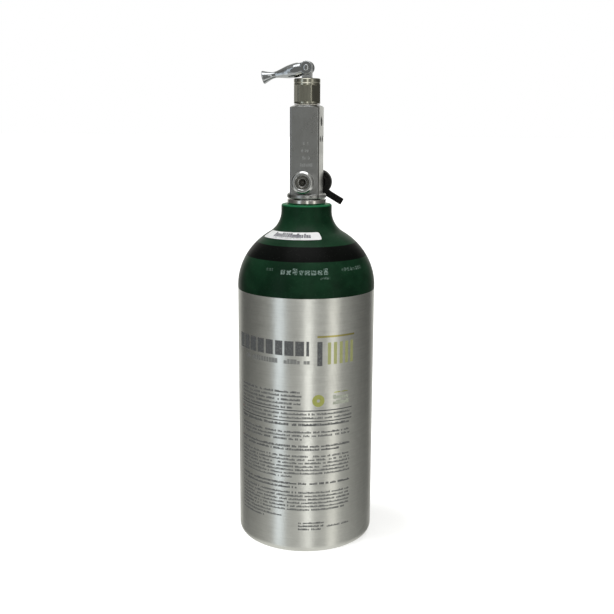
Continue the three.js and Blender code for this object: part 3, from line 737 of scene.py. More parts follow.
# The valve body's sizes, which its finish and the pieces on it use too.
valve = {
    "postX": 23.4, "postY": 22.2, "corner": 1.3, "postTop": 354.2, "coneRadius": 10.75, "coneAngle": 16,
    "flange": (15.7, 281.4, 285.6), "waist": 11.0, "shank": (9.4, 256.5), "seatTop": 277.3,
    "spigot": (8.0, 366.2), "chamber": (6.8, 336.2), "passage": 1.5, "shankBore": (3.3, 9.0),
    "outlet": (3.5, 342.1), "pinHole": (2.38, 5.5, 4.416, 328.51), "screwMark": (3.4, 2.2, 337.1),
    "fillLevel": 294.9, "reliefLevel": 312.1,
}


def plated(name, dark, light, rough, stretch, anisotropic=0.0, scratchAmount=0.35, depth=0.6, relief=0.1):
    # Plated or machined metal: drawn grain, hair scratches and handling marks.
    material, tree, sockets, position = newMaterial(name, 1.0, Anisotropic=anisotropic)
    marks = useGroup(tree, grain, Place=position, Stretch=stretch, Depth=depth)
    patch = useGroup(tree, smudge, Place=position, Size=70.0)[0]
    scratch = useGroup(tree, scratches, Place=position, Size=170.0, Amount=scratchAmount)[0]
    tone = plus(tree, 0.5, marks["Tone"], clamp=True)
    colour = blendColour(tree, tone, dark, light)
    worn = [c * 0.78 for c in dark[:3]] + [1]
    colour = stain(tree, colour, patch, 0.22, worn)
    colour = stain(tree, colour, scratch, 0.4, light)
    plug(tree, colour, sockets["Base Color"])
    roughness = plus(tree, rough, times(tree, patch, 0.09))
    roughness = plus(tree, roughness, times(tree, scratch, 0.12))
    plug(tree, roughness, sockets["Roughness"])
    depthMap = minus(tree, marks["Marks"], times(tree, scratch, 0.7))
    plug(tree, bump(tree, depthMap, relief, 0.0001), sockets["Normal"])
    return material


# Lines struck on the post's front: top, left, right, height and seed.
postMarks = [(325.0, -1.0, 4.4, 2.4, 81.0), (319.4, -2.4, 5.0, 2.2, 82.0), (313.6, -1.6, 5.4, 2.4, 83.0),
             (308.2, -3.6, 6.6, 2.4, 84.0)]


def satinPost():
    # The post's plating, with faint struck lines on its front, a painted highlight on the outlet face and
    # painted shade along its corners.
    material = plated("satinPost", (0.30, 0.303, 0.303, 1), (0.44, 0.444, 0.442, 1), 0.27,
                      (900, 900, 60), scratchAmount=0.0, relief=0.14)
    tree = material.node_tree
    shader = next(n for n in tree.nodes if n.type == "BSDF_PRINCIPLED")
    position = next(n for n in tree.nodes if n.type == "TEX_COORD").outputs["Object"]
    x, y, z = split(tree, position)
    across, up = times(tree, x, 1000.0), times(tree, z, 1000.0)
    onFront = calc(tree, "LESS_THAN", y, (0.2 - valve["postY"] / 2) * mm)
    struck = 0.0
    for top, left, right, tall, seed in postMarks:
        row = useGroup(tree, dashRows, Arc=across, Height=up, Top=top, Pitch=9.0, Rows=1, Tall=tall,
                       Left=left, Right=right, Last=right, Cell=1.5, Gaps=0.2, Seed=seed)[0]
        struck = larger(tree, struck, row)
    worn = between(tree, noise(tree, position, 1800.0, 2.0, 0.6), 0.4, 0.62)
    struck = times(tree, times(tree, struck, onFront), worn)
    # Painted highlight: the outlet face is coloured lighter than the other faces.
    outletFace = valve["postX"] / 2
    paintedLitOutletFace = between(tree, across, outletFace - 0.25, outletFace - 0.05)
    # Painted shade: a dark line along the post's rounded upright corners.
    past = [minus(tree, times(tree, calc(tree, "ABSOLUTE", side), 1000.0), valve[size] / 2 - valve["corner"])
            for side, size in ((x, "postX"), (y, "postY"))]
    corner = between(tree, calc(tree, "MINIMUM", *past), 0.1, 0.5)
    colour = shader.inputs["Base Color"].links[0].from_socket
    colour = stain(tree, colour, struck, 0.55, (0.72, 0.73, 0.74, 1))
    colour = stain(tree, colour, paintedLitOutletFace, 0.8, (0.86, 0.86, 0.85, 1))
    colour = stain(tree, colour, corner, 0.7, (0.10, 0.10, 0.10, 1))
    plug(tree, colour, shader.inputs["Base Color"])
    bumpNode = shader.inputs["Normal"].links[0].from_node
    height = bumpNode.inputs["Height"].links[0].from_socket
    plug(tree, minus(tree, height, times(tree, struck, 2.5)), bumpNode.inputs["Height"])
    return material


def mouldedRubber(name, dark, light, rough):
    material, tree, sockets, position = newMaterial(name, 0.0, Specular_IOR_Level=0.2)
    patch = useGroup(tree, smudge, Place=position, Size=80.0)[0]
    dust = useGroup(tree, specks, Place=position, Size=1600.0, Amount=0.14)[0]
    texture = noise(tree, position, 2600.0, 3.0, 0.6)
    colour = stain(tree, dark, patch, 0.7, light)
    colour = stain(tree, colour, dust, 0.3, (0.16, 0.16, 0.155, 1))
    plug(tree, colour, sockets["Base Color"])
    plug(tree, plus(tree, rough, times(tree, patch, 0.12)), sockets["Roughness"])
    plug(tree, bump(tree, texture, 0.25, 0.00008), sockets["Normal"])
    return material


def whitePolymer():
    material, tree, sockets, position = newMaterial("whitePolymer", 0.0, Specular_IOR_Level=0.4)
    patch = useGroup(tree, smudge, Place=position, Size=90.0)[0]
    marks = useGroup(tree, grain, Place=position, Stretch=(300, 300, 3000), Depth=0.5)
    colour = blendColour(tree, times(tree, patch, 0.6), (0.78, 0.76, 0.70, 1), (0.66, 0.63, 0.56, 1))
    plug(tree, colour, sockets["Base Color"])
    plug(tree, plus(tree, 0.42, times(tree, patch, 0.12)), sockets["Roughness"])
    plug(tree, bump(tree, marks["Marks"], 0.12, 0.00008), sockets["Normal"])
    return material


finishes = {
    "bottle": brushedBottle(),
    "green": enamel("greenEnamel", (0.004, 0.023, 0.010, 1), (0.013, 0.060, 0.027, 1), 0.29, 0.08),
    "black": enamel("blackEnamel", (0.0022, 0.0026, 0.0024, 1), (0.005, 0.0062, 0.0056, 1), 0.32, 0.04),
    "label": labelFilm(),
    "post": satinPost(),
    "collar": plated("turnedCollar", (0.40, 0.385, 0.365, 1), (0.80, 0.79, 0.77, 1), 0.15, (420, 420, 60),
                     depth=2.0),
    "nut": plated("platedNut", (0.24, 0.238, 0.20, 1), (0.54, 0.53, 0.45, 1), 0.17, (520, 520, 40),
                  depth=1.8),
    "chrome": plated("brightChrome", (0.50, 0.505, 0.51, 1), (0.64, 0.645, 0.65, 1), 0.13, (300, 300, 300),
                     depth=0.25, relief=0.04),
    # The lever and its pin: chrome like the fill port's, with its colour darkened as painted shade.
    "lever": plated("chromeLeverPaintedShade", (0.31, 0.325, 0.34, 1), (0.44, 0.455, 0.475, 1), 0.12, (300, 300, 300),
                    depth=0.25, relief=0.04),
    "portRing": plated("turnedSteelRing", (0.13, 0.128, 0.118, 1), (0.25, 0.245, 0.225, 1), 0.26,
                       (3500, 200, 3500)),
    # A nearly black steel colour, used on the fill poppet.
    "darkSteel": plated("nearlyBlackSteel", (0.07, 0.068, 0.06, 1), (0.16, 0.155, 0.14, 1), 0.24,
                        (1200, 1200, 1200)),
    "steel": plated("groundSteel", (0.47, 0.48, 0.49, 1), (0.66, 0.67, 0.68, 1), 0.22, (400, 400, 3000)),
    "clip": plated("blackenedSteel", (0.10, 0.10, 0.105, 1), (0.20, 0.20, 0.21, 1), 0.34, (900, 900, 900)),
    "brass": plated("machinedBrass", (0.55, 0.40, 0.17, 1), (0.74, 0.58, 0.30, 1), 0.26, (3000, 250, 3000)),
    "copper": plated("burstDiscCopper", (0.55, 0.27, 0.16, 1), (0.72, 0.40, 0.26, 1), 0.30, (900, 900, 900)),
    "sinter": plated("sinteredBronze", (0.30, 0.21, 0.11, 1), (0.46, 0.34, 0.19, 1), 0.62, (2500, 2500, 2500),
                     depth=1.2, relief=0.6),
    "cap": mouldedRubber("dustCapRubber", (0.004, 0.004, 0.004, 1), (0.011, 0.011, 0.011, 1), 0.42),
    "seal": mouldedRubber("sealRubber", (0.010, 0.010, 0.010, 1), (0.02, 0.02, 0.02, 1), 0.5),
    "polymer": whitePolymer(),
}
print("finishes made:", len(finishes))


def filletTouch():
    # The angle on the shoulder's ellipse where the neck's hollow fillet touches it.
    a, b, f = bottle["radius"], bottle["rise"], bottle["fillet"]

    def centre(t):
        length = math.hypot(b * math.cos(t), a * math.sin(t))
        return ((a + f * b / length) * math.cos(t), (b + f * a / length) * math.sin(t))

    low, high = 0.0, math.pi / 2
    for _ in range(50):  # halves the step each time
        middle = (low + high) / 2
        if centre(middle)[0] > bottle["neck"] + f:
            low = middle
        else:
            high = middle
    return low, centre(low)


touchAngle, filletCentre = filletTouch()


def shoulderPoints(offset=0.0, step=2.5, levels=()):
    # The shoulder's outline from the straight wall up to the neck, with a point at each of the levels.
    angles = [step * i for i in range(int(math.degrees(touchAngle) / step) + 1)]
    angles += [math.degrees(math.asin((z - bottle["shoulder"]) / bottle["rise"])) for z in levels]
    angles = sorted(set(angles + [math.degrees(touchAngle)]))
    points = [((bottle["radius"] + offset) * math.cos(math.radians(a)),
               bottle["shoulder"] + (bottle["rise"] + offset) * math.sin(math.radians(a))) for a in angles]
    x, z = filletCentre[0], bottle["shoulder"] + filletCentre[1]
    slope = math.degrees(math.atan2(z - points[-1][1], x - points[-1][0]))
    bend = bottle["fillet"] - offset
    return points + arc(x, z, bend, bend, 180 + slope, 180, 14)[1:]


def buildBottle():
    b = bottle
    inside = b["radius"] - b["wall"]
    skin = b["paintThick"]
    boreAngle = math.degrees(math.acos(b["bore"] / inside))
    recess, recessDepth = b["recess"]
    gland, glandDepth = b["gland"]
    outline = [(0, recessDepth), (recess * 0.3, recessDepth * 0.93), (recess * 0.6, recessDepth * 0.62),
               (recess * 0.85, recessDepth * 0.22), (recess, 0)]
    outline += arc(b["radius"] - b["base"], b["base"], b["base"], b["base"], -90, 0, 14)
    outline += [(b["radius"], z) for z in (40, 80, 120, 160, 195, b["paintFrom"] - 0.02)]
    outline += [(b["radius"] + skin * 0.8, b["paintFrom"]), (b["radius"] + skin, b["paintFrom"] + 0.25)]
    outline += shoulderPoints(skin, levels=b["band"])
    outline += arc(b["neck"] - b["edge"] + skin, b["top"] - b["edge"], b["edge"], b["edge"], 0, 90, 8)
    outline += [(gland + 0.4, b["top"]), (gland, b["top"] - 0.4), (gland, b["top"] - glandDepth),
                (b["bore"], b["top"] - glandDepth)]
    outline += arc(0, b["shoulder"], inside, b["rise"] - b["wall"], boreAngle, 0, 24)
    outline += arc(inside - b["corner"], b["floor"] + b["corner"], b["corner"], b["corner"], 0, -90, 10)
    outline += [(0, b["floor"])]
    shell = turnPiece("bottleShell", outline, 192)
    shade(shell, 40)
    fit(shell, "cylinder", "cylinder_shell",
        [finishes["bottle"], finishes["green"], finishes["black"]], "cylinder_shell")
    low, high = [z * mm for z in b["band"]]
    for face in shell.data.polygons:
        centre, normal = face.center, face.normal
        outwards = normal.x * centre.x + normal.y * centre.y > 0
        rim = normal.z > 0.9 and math.hypot(centre.x, centre.y) > gland * mm
        if centre.z > b["paintFrom"] * mm - 1e-6 and (outwards or rim):
            face.material_index = 2 if low < centre.z < high else 1
    return shell


labelSize = {"length": 47.0, "up": 5.0, "middle": 254.0, "from": -65.0, "to": 32.0, "corner": 1.5,
             "thickness": 0.22, "lift": 0.2, "tilt": 0.3}


def buildLabel():
    # Cut flat with round corners, then pressed onto the shoulder.
    s = labelSize
    clearSelection()
    bpy.ops.mesh.primitive_plane_add(size=1, location=(0, 0, 0))
    label = bpy.context.object
    label.name = "shoulderLabel"
    label.scale = (s["length"], s["up"], 1)
    toWorld(label)
    editAll()
    bpy.ops.mesh.bevel(affect="VERTICES", offset=s["corner"], segments=8)
    for side, count, across in (("length", 60, Vector((1, 0, 0))), ("up", 8, Vector((0, 1, 0)))):
        for i in range(1, count):
            bpy.ops.mesh.select_all(action="SELECT")
            bpy.ops.mesh.bisect(plane_co=across * s[side] * (i / count - 0.5), plane_no=across)
    leaveEdit()
    slope = shoulderPoints(bottle["paintThick"] + s["lift"], 1.0)
    for vertex in label.data.vertices:
        along = vertex.co.x / s["length"]
        z = s["middle"] + vertex.co.y + s["tilt"] * 2 * along
        i = next(k for k, point in enumerate(slope) if point[1] > z)
        (r0, z0), (r1, z1) = slope[i - 1], slope[i]
        radius = r0 + (r1 - r0) * (z - z0) / (z1 - z0)
        angle = math.radians((s["from"] + s["to"]) / 2 + (s["to"] - s["from"]) * along)
        vertex.co = Vector((radius * math.sin(angle), -radius * math.cos(angle), z)) * mm
    closeUp(label)
    face = label.data.polygons[0]
    if face.normal.dot(face.center) < 0:
        pick(label)
        editAll()
        bpy.ops.mesh.flip_normals()
        leaveEdit()
    modify(label, "film", "SOLIDIFY", thickness=s["thickness"] * mm, offset=1)
    shade(label, 40)
    return fit(label, "cylinder", "shoulder_label", [finishes["label"]], "shoulder_label")


buildBottle()
buildLabel()
print("bottle and label done")


def holeTool(radius, depth, sink=0.35, segments=48):
    # A drill with a light countersink, its mouth at height 0 and its point down.
    return turnPiece("drill", [(0, -depth - radius * 0.35), (radius, -depth), (radius, -sink),
                               (radius + sink + 0.5, 0.5), (0, 0.5)], segments)


def postPiece():
    # A square bar with rounded uprights and a coned top.
    v = valve
    _, flangeLow, flangeHigh = v["flange"]
    bottom = (flangeLow + flangeHigh) / 2
    post = blockPiece("valveBody", (v["postX"], v["postY"], v["postTop"] - bottom),
                      (0, 0, (v["postTop"] + bottom) / 2))
    pick(post)
    enterEdit()
    bpy.ops.mesh.select_all(action="DESELECT")
    leaveEdit()
    for edge in post.data.edges:
        start, end = [post.data.vertices[i].co for i in edge.vertices]
        edge.select = abs(start.z - end.z) > 1 * mm
    enterEdit()
    bpy.ops.mesh.select_mode(type="EDGE")
    bpy.ops.mesh.bevel(offset=v["corner"] * mm, segments=6, profile=0.5)
    bpy.ops.mesh.select_mode(type="VERT")
    leaveEdit()
    reach = math.hypot(v["postX"], v["postY"]) / 2 + 1
    fall = (reach - v["coneRadius"]) * math.tan(math.radians(v["coneAngle"]))
    crown = [(0, bottom - 1), (reach, bottom - 1), (reach, v["postTop"] - fall),
             (v["coneRadius"] + 0.5, v["postTop"] - 0.32), (v["coneRadius"] + 0.2, v["postTop"] - 0.1),
             (v["coneRadius"] - 0.3, v["postTop"]), (0, v["postTop"])]
    combine(post, turnPiece("crown", crown, 160), "INTERSECT")
    return post


def footPiece():
    # The shank with its turned thread, the seat and the bead flange.
    v = valve
    flange, flangeLow, flangeHigh = v["flange"]
    shank, shankBottom = v["shank"]
    pitch, threadDeep, lowBead, highBead = 1.5, 0.45, 1.5, 1.9
    thread = []
    level = v["seatTop"] - 4 * pitch
    while level > shankBottom + pitch:
        thread += [(shank, level + threadDeep), (shank - threadDeep, level), (shank, level - threadDeep)]
        level -= pitch
    foot = [(0, shankBottom), (shank - 0.8, shankBottom), (shank, shankBottom + 0.8)] + thread[::-1]
    foot += [(shank, v["seatTop"]), (v["waist"], v["seatTop"]), (v["waist"], flangeLow)]
    foot += arc(flange - lowBead, flangeLow + lowBead, lowBead, lowBead, -90, 0, 8)
    foot += arc(flange - highBead, flangeHigh - highBead, highBead, highBead, 0, 90, 10)
    return turnPiece("foot", foot + [(0, flangeHigh)], 128)


def spigotPiece():
    # The threaded spigot that the bonnet nut screws onto.
    spigot, spigotTop = valve["spigot"]
    base = valve["postTop"]
    pitch, threadDeep = 1.1, 0.25
    ridges = [(spigot, base - 1), (spigot, base + 1.2)]
    level = base + 1.6
    while level < spigotTop - 1.2:
        ridges += [(spigot - threadDeep, level), (spigot, level + 0.4), (spigot, level + 0.5),
                   (spigot - threadDeep, level + 0.9)]
        level += pitch
    ridges += [(spigot, spigotTop - 0.5), (spigot - 0.5, spigotTop), (0, spigotTop), (0, base - 1)]
    return turnPiece("spigot", ridges, 96)


def cutWay(post):
    # The stem's chamber, and the gas way and bore up through the shank.
    v = valve
    chamber, chamberLow = v["chamber"]
    _, spigotTop = v["spigot"]
    _, shankBottom = v["shank"]
    bore, boreDepth = v["shankBore"]
    seat = 2.7
    chamberPiece = turnPiece("chamber", [
        (0, chamberLow + 0.8), (seat, chamberLow + 0.8), (seat, chamberLow), (chamber, chamberLow),
        (chamber, spigotTop - 0.4), (chamber + 0.4, spigotTop), (chamber + 0.4, spigotTop + 1),
        (0, spigotTop + 1)], 96)
    wayPiece = rodPiece("passage", v["passage"], shankBottom - 1, chamberLow + 1.5, 32)
    borePiece = turnPiece("bore", [(0, shankBottom - 1), (bore, shankBottom - 1),
                                   (bore, shankBottom + boreDepth), (0, shankBottom + boreDepth + 1)], 48)
    cut(post, chamberPiece, wayPiece, borePiece)


def cutFaces(post):
    # The outlet and pin holes, the yoke screw's mark, and the seats of the fill port and the relief plug.
    v = valve
    right, front = v["postX"] / 2, v["postY"] / 2
    outlet, outletLevel = v["outlet"]
    cut(post, alongRight(holeTool(outlet, right, 0.5, 64), right, outletLevel))
    hole, depth, aside, level = v["pinHole"]
    for y in (-aside, aside):
        cut(post, alongRight(holeTool(hole, depth), right, level, y))
    mark, depth, level = v["screwMark"]
    cone = turnPiece("mark", [(0, -depth), (0.5, -depth + 0.1), (mark - 0.4, -0.15), (mark + 0.6, 0.6),
                              (0, 0.6)], 64)
    cut(post, place(cone, (0, -90, 0), (-right, 0, level)))
    cut(post, alongFront(rodPiece("portBore", 5.9, -7.3, 1, 64), -front, v["fillLevel"]),
        alongFront(rodPiece("portWay", v["passage"], -12, -6, 24), -front, v["fillLevel"]),
        alongBack(rodPiece("reliefBore", 4.5, -7.9, 1, 64), front, v["reliefLevel"]),
        alongBack(rodPiece("reliefWay", v["passage"], -12, -6, 24), front, v["reliefLevel"]))


def buildValveBody():
    post = postPiece()
    weld(post, footPiece(), spigotPiece())
    cutWay(post)
    cutFaces(post)
    closeUp(post)
    shade(post, 28)
    return fit(post, "cylinder", "valve_body", [finishes["post"]], "valve_body")


collarSize = {"inner": 11.3, "outer": 15.5, "low": 277.3, "high": 280.8}


def buildCollar():
    c = collarSize
    outline = softOutline([(c["inner"], c["low"], 0.3), (c["outer"], c["low"], 0.7),
                           (c["outer"], c["high"], 0.7), (c["inner"], c["high"], 0.3)])
    collar = turnPiece("neckCollar", outline, 128)
    shade(collar)
    return fit(collar, "cylinder", "neck_collar", [finishes["collar"]], "neck_collar")


buildValveBody()
buildCollar()
print("valve body and collar done")


nutSize = {"low": 355.5, "high": 374.9, "radius": 10.45, "cavity": 8.3, "ceiling": 371.3, "hole": 4.15,
           "flats": 18.5, "flatLow": 356.7, "flatHigh": 370.2}


def buildNut():
    n = nutSize
    outline = softOutline([
        (n["cavity"], n["low"], 0.3), (n["radius"], n["low"], 0.5), (n["radius"], n["flatHigh"] + 0.9, 0.2),
        (n["radius"] - 0.3, n["flatHigh"] + 1.3, 0.2), (n["radius"], n["flatHigh"] + 1.7, 0.2),
        (n["radius"], n["high"], 0.9), (n["hole"], n["high"], 0.35), (n["hole"], n["ceiling"]),
        (n["cavity"], n["ceiling"], 0.8)])
    nut = turnPiece("bonnetNut", outline, 144)
    # The flats are what a ring has left round a hexagon, with its ends sloped as a cutter leaves them.
    across, outer, slope = n["flats"] / 2, n["radius"] + 3, 0.8
    flats = turnPiece("flats", [(0, n["flatLow"] + slope), (across, n["flatLow"] + slope),
                                (outer, n["flatLow"] - slope), (outer, n["flatHigh"] + slope),
                                (across, n["flatHigh"] - slope), (0, n["flatHigh"] - slope)], 96)
    cut(flats, hexagonBar(n["flats"], 40, (n["flatLow"] + n["flatHigh"]) / 2))
    cut(nut, flats)
    softenEdges(nut, 0.15, 2, 25)
    closeUp(nut)
    shade(nut, 30)
    return fit(nut, "cylinder", "bright_metal", [finishes["nut"]], "bonnet_nut")


gasketSize = {"inner": 8.3, "outer": 10.05, "low": 354.5, "high": 355.2}


def buildGasket():
    gasket = turnPiece("bonnetGasket", washerOutline(gasketSize, 0.25))
    shade(gasket)
    return fit(gasket, "cylinder", "polymer", [finishes["polymer"]], "bonnet_gasket")


stemSize = {"shaftLow": 358.3, "shaft": 6.4, "groove": 4.9, "ring": (363.3, 1.3),
            "collar": (7.6, 366.5, 369.5), "neck": 4.0, "neckTop": 375.7, "tongue": (8.0, 4.8),
            "foot": 375.2, "pinLevel": 383.0, "blade": (2.0, 9.0)}
pinHole = 1.7


def buildStem():
    s = stemSize
    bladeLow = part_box("valve_stem")[0].z / mm
    bladeTop = s["shaftLow"] + 1
    ringLevel, half = s["ring"]
    collar, collarLow, collarHigh = s["collar"]
    shaft, groove, neck = s["shaft"], s["groove"], s["neck"]
    outline = [(0, s["shaftLow"]), (shaft, s["shaftLow"]), (shaft, ringLevel - half),
               (groove, ringLevel - half), (groove, ringLevel + half), (shaft, ringLevel + half),
               (shaft, collarLow), (collar, collarLow), (collar, collarHigh), (neck, collarHigh),
               (neck, s["neckTop"] - 0.4), (neck - 0.4, s["neckTop"]), (0, s["neckTop"])]
    stem = turnPiece("valveStem", outline, 80)
    width, thick = s["tongue"]
    side = [(-width / 2, s["foot"]), (width / 2, s["foot"])]
    side += arc(0, s["pinLevel"], width / 2, width / 2, 0, 180, 28)
    tongue = platePiece("tongue", side, -thick / 2, thick / 2)
    softenEdges(tongue, 0.3, 3, 40)
    blade = blockPiece("blade", (*s["blade"], bladeTop - bladeLow), (0, 0, (bladeTop + bladeLow) / 2))
    weld(stem, tongue, blade)
    cut(stem, alongFront(rodPiece("drill", pinHole, -12, 12, 40), 0, s["pinLevel"]))
    closeUp(stem)
    shade(stem, 30)
    return fit(stem, "stem", "steel", [finishes["steel"]], "valve_stem")


pinSize = {"radius": 1.55, "head": 2.4, "dome": 0.9, "side": 5.6, "groove": (5.6, 6.5, 1.2), "end": 8.0}
clipSize = {"outer": 2.9, "inner": 1.3, "low": 5.75, "high": 6.35, "gap": 1.8}


def buildPin():
    # Turned along the pin, with a domed head at the front and a clip groove at the back.
    p = pinSize
    grooveLow, grooveHigh, root = p["groove"]
    outline = [(0, -p["end"]), (p["radius"] - 0.3, -p["end"]), (p["radius"], -p["end"] + 0.3),
               (p["radius"], -grooveHigh), (root, -grooveHigh), (root, -grooveLow), (p["radius"], -grooveLow),
               (p["radius"], p["side"]), (p["head"], p["side"]), (p["head"], p["side"] + 0.3)]
    outline += arc(0, p["side"] + 0.3, p["head"], p["dome"] - 0.3, 0, 90, 10)[1:]
    pin = alongFront(turnPiece("leverPin", outline, 56), 0, stemSize["pinLevel"])
    shade(pin)
    return fit(pin, "stem", "steel", [finishes["lever"]], "lever_pin")


def buildClip():
    c = clipSize
    clip = turnPiece("leverPinClip", washerOutline(c, 0.15), 64)
    opening = blockPiece("opening", (c["gap"], c["outer"], 4), (0, -c["outer"] / 2 - 0.4, c["low"]))
    cut(clip, opening)
    alongBack(clip, 0, stemSize["pinLevel"])
    closeUp(clip)
    shade(clip)
    return fit(clip, "stem", "clip_steel", [finishes["clip"]], "lever_pin_clip")


leverSize = {"hub": 5.2, "width": 10.6, "slot": 5.4, "slotEnd": 6.86, "deep": 5.5, "bodyEnd": 17.5,
             "tail": 4.7, "waist": 2.5, "knob": 5.15, "tip": 36.3, "droop": 11.7, "voxel": 0.2}


def buildLever():
    # A forked hub and body with a turned handle, cast in one and polished. Made level, then laid over.
    s = leverSize
    deep, end, tail, tip = s["deep"], s["bodyEnd"], s["tail"], s["tip"]
    hub, half, waist, knob = s["hub"], s["width"] / 2, s["waist"], s["knob"]
    lever = platePiece("toggleLever", arc(0, 0, hub, hub, 0, 360, 48)[:-1], -half, half)
    softenEdges(lever, 0.8, 4, 50)
    body = [(0, 0), (hub, 0), (deep - 0.1, 3.5), (deep + 0.1, 7.0), (deep + 0.1, 10.0), (deep - 0.25, 13.0),
            (tail + 0.2, 15.6), (tail - 0.4, end + 0.6), (3.8, end + 2.4), (3.3, end + 4.4),
            (2.8, end + 6.4), (waist, end + 8.2)]
    grip = [(waist, end + 9.8), (2.62, end + 11.0), (3.0, end + 12.4), (3.6, end + 14.2), (4.3, end + 16.0),
            (4.95, end + 17.6), (knob, end + 18.2), (knob, tip - 0.25), (knob - 0.3, tip),
            (knob - 0.9, tip), (knob - 1.3, tip - 0.3), (2.3, tip - 0.75), (0, tip - 0.9)]
    weld(lever, place(turnPiece("handle", body + grip, 80), (0, -90, 0)))
    combine(lever, blockPiece("cheeks", (100, s["width"], 40), (-20, 0, 0)), "INTERSECT")
    remould(lever, s["voxel"], 6)
    slotBlock = blockPiece("slot", (s["slotEnd"] + 12, s["slot"], 24), (6 - s["slotEnd"] / 2, 0, 0))
    cut(lever, slotBlock)
    cut(lever, alongFront(rodPiece("drill", pinHole, -12, 12, 48), 0, 0))
    place(lever, (0, -s["droop"], 0), (0, 0, stemSize["pinLevel"]))
    closeUp(lever)
    shade(lever, 35)
    return fit(lever, "lever", "bright_metal", [finishes["lever"]], "toggle_lever")


buildNut()
buildGasket()
buildStem()
buildPin()
buildClip()
buildLever()
print("bonnet, stem and lever done")


portSize = {"boss": 9.0, "length": 8.6, "face": 7.5, "mouth": 5.4, "mouthDepth": 1.4, "throat": 3.1,
            "step": 4.0, "bore": 4.0, "stub": 5.6, "stubLength": 7.0, "sealGroove": (6.35, 8.05, 0.7)}


def buildFillPort():
    p = portSize
    front = valve["postY"] / 2
    face, mouthFloor = p["length"], p["length"] - p["mouthDepth"]
    outline = softOutline([
        (p["bore"], -p["stubLength"]), (p["stub"], -p["stubLength"], 0.4), (p["stub"], 0.3),
        (p["boss"], 0.3, 0.3), (p["boss"], face - 1.5, 1.2), (p["face"], face, 0.8),
        (p["mouth"] + 0.45, face, 0.1), (p["mouth"], face - 0.45, 0.1), (p["mouth"], mouthFloor),
        (p["throat"], mouthFloor, 0.15), (p["throat"], p["step"]), (p["bore"], p["step"])])
    port = turnPiece("fillPortBody", outline, 128)
    grooveInner, grooveOuter, grooveDepth = p["sealGroove"]
    cut(port, ringPiece("sealGroove", grooveInner, grooveOuter, -grooveDepth, 2.0))
    alongFront(port, -front, valve["fillLevel"])
    closeUp(port)
    shade(port, 25)
    return fit(port, "cylinder", "bright_metal", [finishes["chrome"]], "fill_port_body")


def buildSeatRing():
    p = portSize
    top = p["length"] - 0.2
    outline = softOutline([(3.5, top - 1.0), (p["mouth"] - 0.15, top - 1.0), (p["mouth"] - 0.15, top, 0.15),
                           (4.75, top, 0.1), (4.6, top - 0.25, 0.1), (4.2, top - 0.25, 0.1), (4.05, top, 0.1),
                           (3.9, top, 0.1), (3.5, top - 0.4)])
    seatRing = alongFront(turnPiece("fillSeatRing", outline), -valve["postY"] / 2, valve["fillLevel"])
    shade(seatRing, 25)
    return fit(seatRing, "cylinder", "steel", [finishes["portRing"]], "fill_seat_ring")


def buildPoppet():
    p = portSize
    end = p["length"] - p["mouthDepth"]
    low = p["step"] - 0.3 - 2.5
    outline = [(0, low - 4.2), (1.3, low - 4.2), (1.6, low - 3.9), (1.6, low), (3.7, low), (3.7, low + 0.75),
               (2.85, low + 0.75), (2.85, low + 1.75), (3.7, low + 1.75), (3.7, low + 2.5), (2.0, low + 2.5),
               (2.0, end - 0.6), (1.85, end - 0.3), (1.5, end), (0.8, end), (0.5, end - 0.35), (0, end - 0.5)]
    poppet = alongFront(turnPiece("fillPoppet", outline, 64), -valve["postY"] / 2, valve["fillLevel"])
    shade(poppet, 25)
    return fit(poppet, "poppet", "steel", [finishes["darkSteel"]], "fill_poppet")


springSize = {"wire": 0.35, "coil": 2.6, "turns": 5, "low": -6.65, "high": 0.55, "push": 2.0}


def buildSpring():
    s = springSize
    clearSelection()
    bpy.ops.mesh.primitive_circle_add(vertices=12, radius=s["wire"] * mm, rotation=(math.pi / 2, 0, 0),
                                      location=(s["coil"] * mm, 0, s["low"] * mm))
    spring = bpy.context.object
    spring.name = "fillSpring"
    toWorld(spring)
    modify(spring, "coil", "SCREW", axis="Z", angle=2 * math.pi * s["turns"], steps=40 * s["turns"],
           render_steps=40 * s["turns"], screw_offset=(s["high"] - s["low"]) * mm)
    enterEdit()
    bpy.ops.mesh.select_mode(type="VERT")
    bpy.ops.mesh.select_all(action="DESELECT")
    bpy.ops.mesh.select_non_manifold()
    bpy.ops.mesh.fill_holes(sides=0)
    alongFront(spring, -valve["postY"] / 2, valve["fillLevel"])
    closeUp(spring)
    shade(spring, 50)
    fit(spring, "cylinder", "steel", [finishes["steel"]], "fill_spring")
    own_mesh(spring)
    return spring


reliefSize = {"thread": 4.2, "threadLength": 6.0, "neck": 3.5, "bore": 1.6, "flats": 10.0, "headLow": 2.6,
              "headHigh": 8.1, "vent": 0.75}


def buildReliefPlug():
    r = reliefSize
    corner = r["flats"] / math.sqrt(3)
    outline = softOutline([
        (r["bore"], -r["threadLength"]), (r["thread"], -r["threadLength"], 0.3), (r["thread"], -0.3),
        (r["neck"], -0.3), (r["neck"], r["headLow"]), (corner - 0.4, r["headLow"]),
        (corner, r["headLow"] + 0.3), (corner, r["headHigh"] - 0.8), (corner - 0.9, r["headHigh"], 0.3),
        (0, r["headHigh"]),
        (0, r["headHigh"] - 1.8), (r["bore"], r["headHigh"] - 1.8)])
    plugPiece = turnPiece("reliefPlug", outline)
    combine(plugPiece, hexagonBar(r["flats"], 60), "INTERSECT")
    level = r["headLow"] + (r["headHigh"] - r["headLow"]) * 0.45
    for turn in (0, 90):
        cut(plugPiece, place(rodPiece("vent", r["vent"], -9, 9, 24), (90, 0, turn), (0, 0, level)))
    alongBack(plugPiece, valve["postY"] / 2, valve["reliefLevel"])
    closeUp(plugPiece)
    shade(plugPiece, 25)
    return fit(plugPiece, "cylinder", "brass", [finishes["brass"]], "relief_plug")


